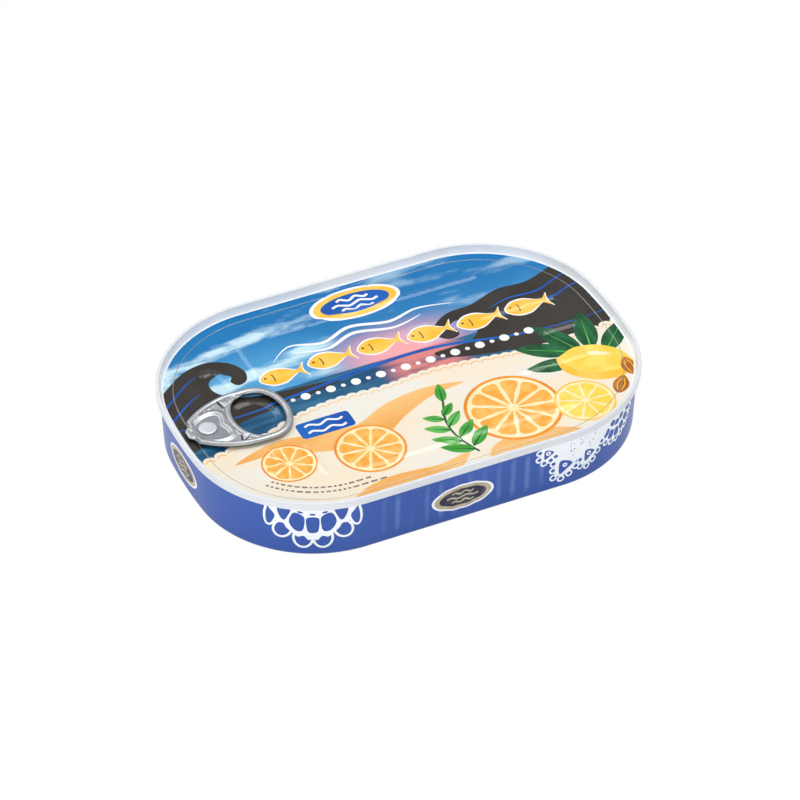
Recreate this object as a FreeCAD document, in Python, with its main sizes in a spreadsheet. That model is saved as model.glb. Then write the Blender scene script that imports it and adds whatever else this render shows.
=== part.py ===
import FreeCAD, Part
import math
import os
import Sketcher

# A shallow oblong fish tin, shut, with a ring-pull lid.
# Millimetres, +Z up. The origin is the middle of the base, the tin's length lies along X, and
# the ring pull is at the -X end. The sub-parts are can_body, lid_end, rivet and tab.

DRIVING_SIZES = [
    # The tin as a whole, over the double seam.
    ("seam_length", 142.0),
    ("seam_width", 96.5),
    ("tin_height", 21.6),
    ("corner_radius", 39.1),
    ("end_radius", 167.0),
    # The lid: its seam, the chuck wall down to the panel, and the panel's sheet.
    ("seam_thickness", 1.15),
    ("seam_round", 0.45),
    ("skirt_round", 0.3),
    ("panel_depth", 2.6),
    ("panel_inset", 1.7),
    ("lid_sheet", 0.3),
    ("score_inset", 4.9),
    ("score_width", 0.4),
    ("score_depth", 0.12),
    # The drawn body: its wall leans in towards the base.
    ("wall_inset", 1.1),
    ("base_inset", 1.9),
    ("base_round", 2.0),
    ("recess_inset", 6.0),
    ("recess_depth", 0.8),
    # Upright flutes along both long sides.
    ("flute_pitch", 4.6),
    ("flute_radius", 6.0),
    ("flute_depth", 0.2),
    ("flute_margin", 2.2),
    # Stiffening beads pressed up in the panel; a bead's run joins the centres of its round ends.
    ("bead_width", 2.0),
    ("bead_height", 0.35),
    ("long_bead_run", 68.0),
    ("long_bead_end_gap", 30.3),
    ("long_bead_edge", 15.0),
    ("mid_bead_run", 24.0),
    ("mid_bead_offset", 14.2),
    ("short_bead_run", 10.0),
    ("bead_end_gap", 13.5),
    ("cross_bead_run", 13.0),
    ("cross_bead_gap", 33.3),
    ("cross_bead_offset", 24.0),
    # The finger well under the ring.
    ("well_gap", 24.0),
    ("well_radius", 8.8),
    ("well_floor_radius", 6.0),
    ("well_depth", 0.7),
    ("fit_gap", 0.05),
    # The ring-pull tab. Each run is measured from its nose; bar_run ends at the finger hole.
    ("nose_gap", 3.1),
    ("nose_width", 3.0),
    ("bar_run", 15.15),
    ("tab_width", 24.0),
    ("tab_thickness", 1.6),
    ("tab_lift", 0.4),
    ("shoulder_run", 1.7),
    ("shoulder_width", 10.0),
    ("flank_run", 20.0),
    ("tab_corner_radius", 9.0),
    ("tab_end_radius", 16.0),
    ("ring_band", 2.2),
    ("rim_width", 1.9),
    ("rim_round", 0.6),
    ("web_run", 3.4),
    ("web_drop", 0.8),
    # The rivet that holds the tab.
    ("rivet_run", 6.6),
    ("rivet_head", 5.6),
    ("rivet_head_height", 0.5),
    ("rivet_head_round", 0.2),
    ("rivet_shank", 4.2),
    ("rivet_clearance", 0.05),
]

# Heights, and places along X, that several sub-parts share.
PANEL_LEVEL = "Sizes.tin_height - Sizes.panel_depth"
SHEET_UNDERSIDE = PANEL_LEVEL + " - Sizes.lid_sheet"
TAB_UNDERSIDE = PANEL_LEVEL + " + Sizes.tab_lift"
WEB_TOP = TAB_UNDERSIDE + " + Sizes.tab_thickness - Sizes.web_drop"
NOSE_X = "-Sizes.seam_length / 2 + Sizes.nose_gap"
RIVET_X = NOSE_X + " + Sizes.rivet_run"
WELL_X = "-Sizes.seam_length / 2 + Sizes.well_gap"
WALL_LEAN = "atan((Sizes.base_inset - Sizes.wall_inset) / (" + SHEET_UNDERSIDE + "))"

START, END, CENTRE = 1, 2, 3
X_AXIS, Y_AXIS = -1, -2

doc = FreeCAD.newDocument("FishTin")
sheet = doc.addObject("Spreadsheet::Sheet", "Sizes")
for row, (alias, size) in enumerate(DRIVING_SIZES, start=1):
    sheet.set(f"A{row}", alias)
    sheet.set(f"B{row}", str(size))
    sheet.setAlias(f"B{row}", alias)
doc.recompute()


def value(expression):
    """The number that an expression over the sheet gives now."""
    result = sheet.evalExpression(expression)
    return float(getattr(result, "Value", result))


def vector(x, y):
    return FreeCAD.Vector(x, y, 0)


def new_body(name):
    body = doc.addObject("PartDesign::Body", name)
    body.Label = name
    return body


def new_sketch(body, name, level="0", plane="XY_Plane", shift_x="0"):
    """An empty sketch on an origin plane of its body: on XY at a level, on XZ at a place along X."""
    sketch = body.newObject("Sketcher::SketchObject", name)
    support = next(item for item in body.Origin.OriginFeatures if item.Role == plane)
    sketch.AttachmentSupport = [(support, "")]
    sketch.MapMode = "FlatFace"
    sketch.setExpression("AttachmentOffset.Base.x", shift_x)
    if plane == "XY_Plane":
        sketch.setExpression("AttachmentOffset.Base.z", level)
    else:
        sketch.setExpression("AttachmentOffset.Base.y", level)
    doc.recompute()
    return sketch


def add_line(sketch, start, end):
    return sketch.addGeometry(Part.LineSegment(vector(*start), vector(*end)), False)


def add_arc(sketch, centre, radius, start_angle, end_angle):
    circle = Part.Circle(vector(*centre), FreeCAD.Vector(0, 0, 1), radius)
    return sketch.addGeometry(Part.ArcOfCircle(circle, start_angle, end_angle), False)


def bind(sketch, kind, *parts, size):
    """Add a constraint whose size is an expression over the sheet."""
    index = sketch.addConstraint(Sketcher.Constraint(kind, *parts, value(size)))
    sketch.setExpression(f"Constraints[{index}]", size)


def rule(sketch, kind, *parts):
    """Add a constraint that has no size."""
    sketch.addConstraint(Sketcher.Constraint(kind, *parts))


def join_tangent(sketch, chain):
    """Join a closed chain of edges end to start, each tangent to the next."""
    for index, edge in enumerate(chain):
        follower = chain[(index + 1) % len(chain)]
        rule(sketch, "Tangent", edge, END, follower, START)


def add_oval(sketch, inset):
    """Draw the tin's outline moved inward: straight sides, round corners and bowed ends."""
    half_length = value(f"Sizes.seam_length / 2 - ({inset})")
    half_width = value(f"Sizes.seam_width / 2 - ({inset})")
    corner = value(f"Sizes.corner_radius - ({inset})")
    bow = value(f"Sizes.end_radius - ({inset})")
    corner_y = half_width - corner
    bow_x = half_length - bow
    corner_x = bow_x + math.sqrt((bow - corner) ** 2 - corner_y ** 2)
    turn = math.atan2(corner_y, corner_x - bow_x)
    quarter = math.pi / 2

    front = add_line(sketch, (-corner_x, -half_width), (corner_x, -half_width))
    front_right = add_arc(sketch, (corner_x, -corner_y), corner, -quarter, -turn)
    right = add_arc(sketch, (bow_x, 0), bow, -turn, turn)
    back_right = add_arc(sketch, (corner_x, corner_y), corner, turn, quarter)
    back = add_line(sketch, (corner_x, half_width), (-corner_x, half_width))
    back_left = add_arc(sketch, (-corner_x, corner_y), corner, quarter, math.pi - turn)
    left = add_arc(sketch, (-bow_x, 0), bow, math.pi - turn, math.pi + turn)
    front_left = add_arc(sketch, (-corner_x, -corner_y), corner, math.pi + turn, 3 * quarter)

    join_tangent(sketch, [front, front_right, right, back_right, back, back_left, left, front_left])
    rule(sketch, "Symmetric", front, START, front, END, Y_AXIS)
    rule(sketch, "Symmetric", front, START, back, END, X_AXIS)
    rule(sketch, "Horizontal", back)
    rule(sketch, "PointOnObject", right, CENTRE, X_AXIS)
    for other in (back_right, back_left, front_left):
        rule(sketch, "Equal", front_right, other)
    rule(sketch, "Equal", right, left)
    bind(sketch, "Radius", front_right, size=f"Sizes.corner_radius - ({inset})")
    bind(sketch, "Radius", right, size=f"Sizes.end_radius - ({inset})")
    bind(sketch, "DistanceY", front, START, back, END, size=f"Sizes.seam_width - 2 * ({inset})")
    bind(sketch, "DistanceX", right, CENTRE, left, CENTRE,
         size="2 * Sizes.end_radius - Sizes.seam_length")


def add_circle(sketch, radius):
    """Draw a circle round the sketch's origin."""
    circle = sketch.addGeometry(Part.Circle(vector(0, 0), FreeCAD.Vector(0, 0, 1), value(radius)), False)
    rule(sketch, "Coincident", circle, CENTRE, X_AXIS, START)
    bind(sketch, "Radius", circle, size=radius)


def add_slot(sketch, start_x, start_y, run, upright=False):
    """Draw a bead's round-ended outline from the centre of its first end."""
    first = (value(start_x), value(start_y))
    length = value(run)
    half = value("Sizes.bead_width / 2")
    last = (first[0], first[1] + length) if upright else (first[0] + length, first[1])
    across = (half, 0) if upright else (0, -half)
    heading = 0 if upright else -math.pi / 2

    def beside(point, sign):
        return (point[0] + sign * across[0], point[1] + sign * across[1])

    near = add_line(sketch, beside(first, 1), beside(last, 1))
    last_cap = add_arc(sketch, last, half, heading, heading + math.pi)
    far = add_line(sketch, beside(last, -1), beside(first, -1))
    first_cap = add_arc(sketch, first, half, heading + math.pi, heading + 2 * math.pi)
    join_tangent(sketch, [near, last_cap, far, first_cap])
    rule(sketch, "Equal", first_cap, last_cap)
    rule(sketch, "Vertical" if upright else "Horizontal", near)
    bind(sketch, "Radius", first_cap, size="Sizes.bead_width / 2")
    bind(sketch, "DistanceX", X_AXIS, START, first_cap, CENTRE, size=start_x)
    bind(sketch, "DistanceY", X_AXIS, START, first_cap, CENTRE, size=start_y)
    bind(sketch, "DistanceY" if upright else "DistanceX", first_cap, CENTRE, last_cap, CENTRE, size=run)


def extrude(body, kind, name, sketch, length, taper=None, downward=False):
    """Add a Pad, or cut a Pocket, from a sketch: upward unless downward is set."""
    feature = body.newObject("PartDesign::" + kind, name)
    feature.Profile = sketch
    feature.setExpression("Length", length)
    if taper is not None:
        feature.setExpression("TaperAngle", taper)
    feature.Reversed = downward if kind == "Pad" else not downward
    doc.recompute()
    return feature


def revolve(body, kind, name, sketch):
    """Turn a sketch on the XZ plane once round its own upright axis."""
    feature = body.newObject("PartDesign::" + kind, name)
    feature.Profile = sketch
    feature.ReferenceAxis = (sketch, ["V_Axis"])
    feature.Angle = 360
    doc.recompute()
    return feature


def level_edges(feature, level, keep=lambda point: True):
    """Names of a feature's edges that lie flat at a level, and whose middle passes keep."""
    height = value(level)
    names = []
    for number, edge in enumerate(feature.Shape.Edges, start=1):
        box = edge.BoundBox
        middle = edge.valueAt((edge.FirstParameter + edge.LastParameter) / 2)
        if abs(box.ZMin - height) < 1e-4 and abs(box.ZMax - height) < 1e-4 and keep(middle):
            names.append(f"Edge{number}")
    return names


def fillet(body, name, feature, edges, radius):
    rounding = body.newObject("PartDesign::Fillet", name)
    rounding.Base = (feature, edges)
    rounding.setExpression("Radius", radius)
    doc.recompute()
    return rounding


def outside_wall(point):
    """True for a point beyond the body's wall, out under the seam."""
    half_length = value("Sizes.seam_length / 2 - Sizes.wall_inset / 2")
    half_width = value("Sizes.seam_width / 2 - Sizes.wall_inset / 2")
    corner = value("Sizes.corner_radius - Sizes.wall_inset / 2")
    reach_x = abs(point.x) - (half_length - corner)
    reach_y = abs(point.y) - (half_width - corner)
    if reach_x > 0 and reach_y > 0:
        return math.hypot(reach_x, reach_y) > corner
    return abs(point.x) > half_length or abs(point.y) > half_width


def well_profile(body, name, level):
    """Half the finger well's section, hung from a level: a flat floor and a sloping side."""
    sketch = new_sketch(body, name, level, plane="XZ_Plane", shift_x=WELL_X)
    mouth = value("Sizes.well_radius")
    floor = value("Sizes.well_floor_radius")
    depth = value("Sizes.well_depth")
    top = add_line(sketch, (0, 0), (mouth, 0))
    slope = add_line(sketch, (mouth, 0), (floor, -depth))
    bottom = add_line(sketch, (floor, -depth), (0, -depth))
    axis = add_line(sketch, (0, -depth), (0, 0))
    rule(sketch, "Coincident", top, START, X_AXIS, START)
    rule(sketch, "Coincident", top, END, slope, START)
    rule(sketch, "Coincident", slope, END, bottom, START)
    rule(sketch, "Coincident", bottom, END, axis, START)
    rule(sketch, "Coincident", axis, END, top, START)
    rule(sketch, "Horizontal", top)
    rule(sketch, "Horizontal", bottom)
    rule(sketch, "Vertical", axis)
    bind(sketch, "DistanceX", top, START, top, END, size="Sizes.well_radius")
    bind(sketch, "DistanceX", bottom, END, bottom, START, size="Sizes.well_floor_radius")
    bind(sketch, "DistanceY", axis, START, axis, END, size="Sizes.well_depth")
    return sketch


# --- can_body: the drawn body with its contents, solid up to the underside of the lid ---------

blank = new_body("can_blank")
base_outline = new_sketch(blank, "BaseOutline")
add_oval(base_outline, "Sizes.base_inset")
wall = extrude(blank, "Pad", "Wall", base_outline, SHEET_UNDERSIDE, taper=WALL_LEAN)
rounded_base = fillet(blank, "BaseRound", wall, level_edges(wall, "0"), "Sizes.base_round")
recess_outline = new_sketch(blank, "RecessOutline")
add_oval(recess_outline, "Sizes.recess_inset")
extrude(blank, "Pocket", "BaseRecess", recess_outline, "Sizes.recess_depth")
body_well = well_profile(blank, "WellUnderLid", SHEET_UNDERSIDE + " - Sizes.fit_gap")
revolve(blank, "Groove", "BodyWell", body_well)
# The groove starts fit_gap below the top face, so a shallow pocket opens it.
well_mouth = new_sketch(blank, "WellMouth", SHEET_UNDERSIDE, shift_x=WELL_X)
add_circle(well_mouth, "Sizes.well_radius")
extrude(blank, "Pocket", "WellMouthCut", well_mouth, "Sizes.fit_gap", downward=True)

# The flutes fill the straight stretch of each long side, less a pitch at each end.
straight_run = base_outline.Shape.Edges[0].Length
flute_count = int(straight_run / value("Sizes.flute_pitch")) - 1
FLUTE_LENGTH = SHEET_UNDERSIDE + " - 2 * Sizes.flute_margin"
FLUTE_Y = ("Sizes.seam_width / 2 - Sizes.base_inset + Sizes.flute_radius - Sizes.flute_depth"
           " + Sizes.flute_margin * tan(" + WALL_LEAN + ")")
flutes = []
for side, sign in (("Front", "-1"), ("Back", "1")):
    for number in range(flute_count):
        flute = doc.addObject("Part::Cylinder", f"Flute{side}{number + 1}")
        step = number - (flute_count - 1) / 2
        flute.setExpression("Radius", "Sizes.flute_radius")
        flute.setExpression("Height", FLUTE_LENGTH)
        flute.Placement.Rotation = FreeCAD.Rotation(FreeCAD.Vector(1, 0, 0), 0)
        flute.setExpression("Placement.Base.x", f"{step} * Sizes.flute_pitch")
        flute.setExpression("Placement.Base.y", f"{sign} * ({FLUTE_Y})")
        flute.setExpression("Placement.Base.z", "Sizes.flute_margin")
        flute.setExpression("Placement.Rotation.Angle", f"-1 * {sign} * {WALL_LEAN}")
        flutes.append(flute)
flute_tools = doc.addObject("Part::Compound", "Flutes")
flute_tools.Links = flutes
can_body = doc.addObject("Part::Cut", "can_body")
can_body.Base = blank
can_body.Tool = flute_tools
can_body.Label = "can_body"
doc.recompute()

# --- lid_end: the double seam, the chuck wall and the panel -----------------------------------

lid_end = new_body("lid_end")
seam_outline = new_sketch(lid_end, "SeamOutline", PANEL_LEVEL)
add_oval(seam_outline, "0")
extrude(lid_end, "Pad", "Seam", seam_outline, "Sizes.panel_depth")
sheet_outline = new_sketch(lid_end, "SheetOutline", SHEET_UNDERSIDE)
add_oval(sheet_outline, "Sizes.wall_inset")
extrude(lid_end, "Pad", "Sheet", sheet_outline, "Sizes.lid_sheet")
boss_profile = well_profile(lid_end, "WellBossProfile", SHEET_UNDERSIDE)
revolve(lid_end, "Revolution", "WellBoss", boss_profile)
chuck_outline = new_sketch(lid_end, "ChuckOutline", "Sizes.tin_height")
add_oval(chuck_outline, "Sizes.seam_thickness")
CHUCK_LEAN = "-1 * atan((Sizes.panel_inset - Sizes.seam_thickness) / Sizes.panel_depth)"
extrude(lid_end, "Pocket", "ChuckWall", chuck_outline, "Sizes.panel_depth", taper=CHUCK_LEAN, downward=True)
lid_well = well_profile(lid_end, "WellProfile", PANEL_LEVEL)
revolve(lid_end, "Groove", "Well", lid_well)
score_outline = new_sketch(lid_end, "ScoreOutline", PANEL_LEVEL)
add_oval(score_outline, "Sizes.score_inset")
add_oval(score_outline, "Sizes.score_inset + Sizes.score_width")
extrude(lid_end, "Pocket", "Score", score_outline, "Sizes.score_depth", downward=True)

bead_outlines = new_sketch(lid_end, "BeadOutlines", PANEL_LEVEL)
LONG_END_X = "Sizes.seam_length / 2 - Sizes.long_bead_end_gap"
LONG_Y = "Sizes.seam_width / 2 - Sizes.long_bead_edge"
BEAD_END_X = "Sizes.seam_length / 2 - Sizes.bead_end_gap"
CROSS_X = "-Sizes.seam_length / 2 + Sizes.cross_bead_gap"
for sign in ("-1", "1"):
    add_slot(bead_outlines, f"{LONG_END_X} - Sizes.long_bead_run", f"{sign} * ({LONG_Y})",
             "Sizes.long_bead_run")
    add_slot(bead_outlines, f"{BEAD_END_X} - Sizes.mid_bead_run", f"{sign} * Sizes.mid_bead_offset",
             "Sizes.mid_bead_run")
    add_slot(bead_outlines, CROSS_X, f"{sign} * Sizes.cross_bead_offset - Sizes.cross_bead_run / 2",
             "Sizes.cross_bead_run", upright=True)
add_slot(bead_outlines, f"{BEAD_END_X} - Sizes.short_bead_run", "0", "Sizes.short_bead_run")
beads = extrude(lid_end, "Pad", "Beads", bead_outlines, "Sizes.bead_height")

seam_round = fillet(lid_end, "SeamRound", beads, level_edges(beads, "Sizes.tin_height"), "Sizes.seam_round")
fillet(lid_end, "SkirtRound", seam_round, level_edges(seam_round, PANEL_LEVEL, outside_wall),
       "Sizes.skirt_round")

# --- tab: the ring pull, held flat over the panel ---------------------------------------------

tab = new_body("tab")
tab.setExpression("Placement.Base.x", NOSE_X)
CORNER_Y = "Sizes.tab_width / 2 - Sizes.tab_corner_radius"
# The hole is as long as its two like bows make it, so the bow's centre follows from bar_run.
BOW_REACH = f"sqrt((Sizes.tab_end_radius - Sizes.tab_corner_radius)^2 - ({CORNER_Y})^2)"
HOLE_BOW = "(Sizes.tab_end_radius - Sizes.ring_band)"
TAB_BOW_X = f"Sizes.bar_run + {HOLE_BOW} - 2 * {BOW_REACH}"
FLANK_RISE = "(Sizes.tab_width - Sizes.shoulder_width) / 2"
FLANK_RADIUS = f"((Sizes.flank_run - Sizes.shoulder_run)^2 + ({FLANK_RISE})^2) / (2 * {FLANK_RISE})"


def add_tab_outline(sketch):
    """Draw the tab seen from above: nose, shoulders, bowed flanks and the ring's round end."""
    half = value("Sizes.tab_width / 2")
    nose = value("Sizes.nose_width / 2")
    shoulder = (value("Sizes.shoulder_run"), value("Sizes.shoulder_width / 2"))
    flank_x = value("Sizes.flank_run")
    flank_radius = value(FLANK_RADIUS)
    corner = value("Sizes.tab_corner_radius")
    bow = value("Sizes.tab_end_radius")
    bow_x = value(TAB_BOW_X)
    corner_y = half - corner
    corner_x = bow_x + value(BOW_REACH)
    turn = math.atan2(corner_y, corner_x - bow_x)
    spread = math.asin((flank_x - shoulder[0]) / flank_radius)
    quarter = math.pi / 2

    nose_edge = add_line(sketch, (0, nose), (0, -nose))
    low_shoulder = add_line(sketch, (0, -nose), (shoulder[0], -shoulder[1]))
    low_flank = add_arc(sketch, (flank_x, flank_radius - half), flank_radius, 3 * quarter - spread, 3 * quarter)
    low_side = add_line(sketch, (flank_x, -half), (corner_x, -half))
    low_corner = add_arc(sketch, (corner_x, -corner_y), corner, -quarter, -turn)
    ring_end = add_arc(sketch, (bow_x, 0), bow, -turn, turn)
    high_corner = add_arc(sketch, (corner_x, corner_y), corner, turn, quarter)
    high_side = add_line(sketch, (corner_x, half), (flank_x, half))
    high_flank = add_arc(sketch, (flank_x, half - flank_radius), flank_radius, quarter, quarter + spread)
    high_shoulder = add_line(sketch, shoulder, (0, nose))

    smooth = [low_flank, low_side, low_corner, ring_end, high_corner, high_side, high_flank]
    for edge, follower in zip(smooth, smooth[1:]):
        rule(sketch, "Tangent", edge, END, follower, START)
    sharp = [high_flank, high_shoulder, nose_edge, low_shoulder, low_flank]
    for edge, follower in zip(sharp, sharp[1:]):
        rule(sketch, "Coincident", edge, END, follower, START)
    rule(sketch, "Symmetric", nose_edge, START, nose_edge, END, X_AXIS)
    rule(sketch, "PointOnObject", nose_edge, START, Y_AXIS)
    rule(sketch, "Symmetric", low_shoulder, END, high_shoulder, START, X_AXIS)
    rule(sketch, "Symmetric", low_side, START, high_side, END, X_AXIS)
    rule(sketch, "Horizontal", low_side)
    rule(sketch, "Horizontal", high_side)
    rule(sketch, "Equal", low_corner, high_corner)
    rule(sketch, "PointOnObject", ring_end, CENTRE, X_AXIS)
    bind(sketch, "DistanceY", nose_edge, END, nose_edge, START, size="Sizes.nose_width")
    bind(sketch, "DistanceX", X_AXIS, START, low_shoulder, END, size="Sizes.shoulder_run")
    bind(sketch, "DistanceY", low_shoulder, END, high_shoulder, START, size="Sizes.shoulder_width")
    bind(sketch, "DistanceY", low_side, START, high_side, END, size="Sizes.tab_width")
    bind(sketch, "DistanceX", X_AXIS, START, low_side, START, size="Sizes.flank_run")
    bind(sketch, "Radius", low_corner, size="Sizes.tab_corner_radius")
    bind(sketch, "Radius", ring_end, size="Sizes.tab_end_radius")
    bind(sketch, "DistanceX", X_AXIS, START, ring_end, CENTRE, size=TAB_BOW_X)


def add_finger_hole(sketch):
    """Draw the ring's hole, one band inside its end and corners, and bowed the same towards the nose."""
    band = value("Sizes.ring_band")
    corner = value("Sizes.tab_corner_radius") - band
    bow = value("Sizes.tab_end_radius") - band
    bow_x = value(TAB_BOW_X)
    corner_y = value(CORNER_Y)
    reach = value(BOW_REACH)
    turn = math.atan2(corner_y, reach)
    right = add_arc(sketch, (bow_x, 0), bow, -turn, turn)
    high = add_arc(sketch, (bow_x + reach, corner_y), corner, turn, math.pi - turn)
    left = add_arc(sketch, (bow_x + 2 * reach, 0), bow, math.pi - turn, math.pi + turn)
    low = add_arc(sketch, (bow_x + reach, -corner_y), corner, math.pi + turn, 2 * math.pi - turn)
    join_tangent(sketch, [right, high, left, low])
    rule(sketch, "Equal", right, left)
    rule(sketch, "Equal", high, low)
    rule(sketch, "PointOnObject", right, CENTRE, X_AXIS)
    rule(sketch, "PointOnObject", left, CENTRE, X_AXIS)
    bind(sketch, "Radius", right, size="Sizes.tab_end_radius - Sizes.ring_band")
    bind(sketch, "Radius", high, size="Sizes.tab_corner_radius - Sizes.ring_band")
    bind(sketch, "DistanceX", X_AXIS, START, right, CENTRE, size=TAB_BOW_X)
    bind(sketch, "DistanceY", X_AXIS, START, high, CENTRE, size=CORNER_Y)


def add_web_outline(sketch):
    """Draw the sunk web between the nose, the flanks' rim and the ring's band."""
    flank = value(FLANK_RADIUS) - value("Sizes.rim_width")
    flank_x = value("Sizes.flank_run")
    flank_y = value("Sizes.tab_width / 2") - value(FLANK_RADIUS)
    left_x = value("Sizes.web_run")
    ring = value("Sizes.tab_end_radius")
    ring_x = value(f"Sizes.bar_run + {HOLE_BOW}")
    # Where the ring's arc meets the upper flank's arc: the nearer crossing of two circles.
    span = math.hypot(ring_x - flank_x, flank_y)
    along = (flank ** 2 - ring ** 2 + span ** 2) / (2 * span)
    aside = math.sqrt(flank ** 2 - along ** 2)
    unit = ((ring_x - flank_x) / span, -flank_y / span)
    meet = (flank_x + along * unit[0] - aside * unit[1], flank_y + along * unit[1] + aside * unit[0])
    nose_y = flank_y + math.sqrt(flank ** 2 - (left_x - flank_x) ** 2)

    def angle(centre, point):
        return math.atan2(point[1] - centre[1], point[0] - centre[0])

    high_centre = (flank_x, flank_y)
    meet_angle = angle(high_centre, meet)
    nose_angle = angle(high_centre, (left_x, nose_y))
    ring_turn = angle((ring_x, 0), meet)
    nose_side = add_line(sketch, (left_x, nose_y), (left_x, -nose_y))
    low_side = add_arc(sketch, (flank_x, -flank_y), flank, -nose_angle, -meet_angle)
    ring_side = add_arc(sketch, (ring_x, 0), ring, ring_turn, 2 * math.pi - ring_turn)
    high_side = add_arc(sketch, high_centre, flank, meet_angle, nose_angle)
    rule(sketch, "Coincident", nose_side, END, low_side, START)
    rule(sketch, "Coincident", low_side, END, ring_side, END)
    rule(sketch, "Coincident", ring_side, START, high_side, START)
    rule(sketch, "Coincident", high_side, END, nose_side, START)
    rule(sketch, "Vertical", nose_side)
    rule(sketch, "PointOnObject", ring_side, CENTRE, X_AXIS)
    rule(sketch, "Equal", low_side, high_side)
    rule(sketch, "Symmetric", low_side, CENTRE, high_side, CENTRE, X_AXIS)
    bind(sketch, "Radius", high_side, size=f"{FLANK_RADIUS} - Sizes.rim_width")
    bind(sketch, "Radius", ring_side, size="Sizes.tab_end_radius")
    bind(sketch, "DistanceX", X_AXIS, START, nose_side, START, size="Sizes.web_run")
    bind(sketch, "DistanceX", X_AXIS, START, high_side, CENTRE, size="Sizes.flank_run")
    bind(sketch, "DistanceY", high_side, CENTRE, X_AXIS, START,
         size=f"{FLANK_RADIUS} - Sizes.tab_width / 2")
    bind(sketch, "DistanceX", X_AXIS, START, ring_side, CENTRE, size=f"Sizes.bar_run + {HOLE_BOW}")


tab_outline = new_sketch(tab, "TabOutline", TAB_UNDERSIDE)
add_tab_outline(tab_outline)
extrude(tab, "Pad", "Plate", tab_outline, "Sizes.tab_thickness")
hole_outline = new_sketch(tab, "HoleOutline", TAB_UNDERSIDE)
add_finger_hole(hole_outline)
ring = extrude(tab, "Pocket", "FingerHole", hole_outline, "Sizes.tab_thickness")
TAB_TOP = TAB_UNDERSIDE + " + Sizes.tab_thickness"
top_rim = fillet(tab, "TopRim", ring, level_edges(ring, TAB_TOP), "Sizes.rim_round")
low_rim = fillet(tab, "LowRim", top_rim, level_edges(top_rim, TAB_UNDERSIDE), "Sizes.rim_round")
web_outline = new_sketch(tab, "WebOutline", TAB_TOP)
add_web_outline(web_outline)
extrude(tab, "Pocket", "Web", web_outline, "Sizes.web_drop", downward=True)
shank_hole = new_sketch(tab, "ShankHole", TAB_UNDERSIDE, shift_x="Sizes.rivet_run")
add_circle(shank_hole, "Sizes.rivet_shank / 2 + Sizes.rivet_clearance")
extrude(tab, "Pocket", "RivetHole", shank_hole, "Sizes.tab_thickness")

# --- rivet: drawn up out of the panel, through the tab's web ----------------------------------

rivet = new_body("rivet")
rivet.setExpression("Placement.Base.x", RIVET_X)
shank_outline = new_sketch(rivet, "ShankOutline", PANEL_LEVEL)
add_circle(shank_outline, "Sizes.rivet_shank / 2")
extrude(rivet, "Pad", "Shank", shank_outline, f"{WEB_TOP} - ({PANEL_LEVEL})")
head_outline = new_sketch(rivet, "HeadOutline", WEB_TOP)
add_circle(head_outline, "Sizes.rivet_head / 2")
head = extrude(rivet, "Pad", "Head", head_outline, "Sizes.rivet_head_height")
HEAD_TOP = WEB_TOP + " + Sizes.rivet_head_height"
fillet(rivet, "HeadRound", head, level_edges(head, HEAD_TOP), "Sizes.rivet_head_round")

# --- Checks, then one STEP file for each sub-part ---------------------------------------------

doc.recompute()
for item in doc.Objects:
    if "Invalid" in item.State or "Error" in item.State:
        raise RuntimeError(f"{item.Label} failed: {item.State}")
for sketch in doc.findObjects("Sketcher::SketchObject"):
    if sketch.solve() != 0:
        raise RuntimeError(f"{sketch.Label} isn't solved")

sub_parts = [can_body, lid_end, tab, rivet]
for sub_part in sub_parts:
    shape = sub_part.Shape
    if shape.isNull() or not shape.isValid() or len(shape.Solids) != 1:
        raise RuntimeError(f"{sub_part.Label} isn't one valid solid")

os.makedirs("parts", exist_ok=True)
for sub_part in sub_parts:
    sub_part.Shape.exportStep(os.path.join("parts", sub_part.Label + ".step"))
    box = sub_part.Shape.BoundBox
    print(f"{sub_part.Label}: {sub_part.Shape.Volume:.1f} mm3, "
          f"x {box.XMin:.2f} to {box.XMax:.2f}, y {box.YMin:.2f} to {box.YMax:.2f}, "
          f"z {box.ZMin:.2f} to {box.ZMax:.2f}")
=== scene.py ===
import random
from math import asin, atan2, cos, dist, hypot, pi, radians, sin, sqrt, tan

import bmesh
import bpy
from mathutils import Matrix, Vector
from mathutils.geometry import delaunay_2d_cdt


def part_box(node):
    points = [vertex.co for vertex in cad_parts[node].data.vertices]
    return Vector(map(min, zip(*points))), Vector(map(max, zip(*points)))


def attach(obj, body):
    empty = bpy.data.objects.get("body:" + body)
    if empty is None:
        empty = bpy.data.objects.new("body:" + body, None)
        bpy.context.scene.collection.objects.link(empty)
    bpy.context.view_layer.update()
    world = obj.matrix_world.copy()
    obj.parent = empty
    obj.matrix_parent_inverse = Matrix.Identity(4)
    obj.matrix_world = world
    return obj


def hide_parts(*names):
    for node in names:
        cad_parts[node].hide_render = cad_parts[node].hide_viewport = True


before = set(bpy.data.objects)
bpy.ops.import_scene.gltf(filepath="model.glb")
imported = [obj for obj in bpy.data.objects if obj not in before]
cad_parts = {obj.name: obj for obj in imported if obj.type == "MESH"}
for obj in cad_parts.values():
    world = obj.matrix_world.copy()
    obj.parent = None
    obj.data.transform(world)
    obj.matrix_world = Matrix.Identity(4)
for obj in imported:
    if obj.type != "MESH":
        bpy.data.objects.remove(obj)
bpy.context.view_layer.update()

# The looks of a shut oblong fish tin: a printed lid and wall, a white seam and a bare metal ring pull.
# Lengths here are millimetres and become metres where a mesh is made.
MM = 0.001
seam_low, seam_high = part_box("lid_end")
HALF_LENGTH = round((seam_high.x - seam_low.x) / 2 / MM, 1)
HALF_WIDTH = round((seam_high.y - seam_low.y) / 2 / MM, 2)
TOP = seam_high.z / MM
CORNER_RADIUS = 39.1
END_RADIUS = 167
PANEL = TOP - 2.6
SHEET_UNDERSIDE = PANEL - 0.3
SEAM_THICKNESS = 1.15
PANEL_INSET = 1.7
SCORE_INSET = 4.9
SCORE_WIDTH = 0.4
SCORE_HALF = 0.3
SCORE_DEPTH = 0.12
WALL_INSET = 1.1
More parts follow.
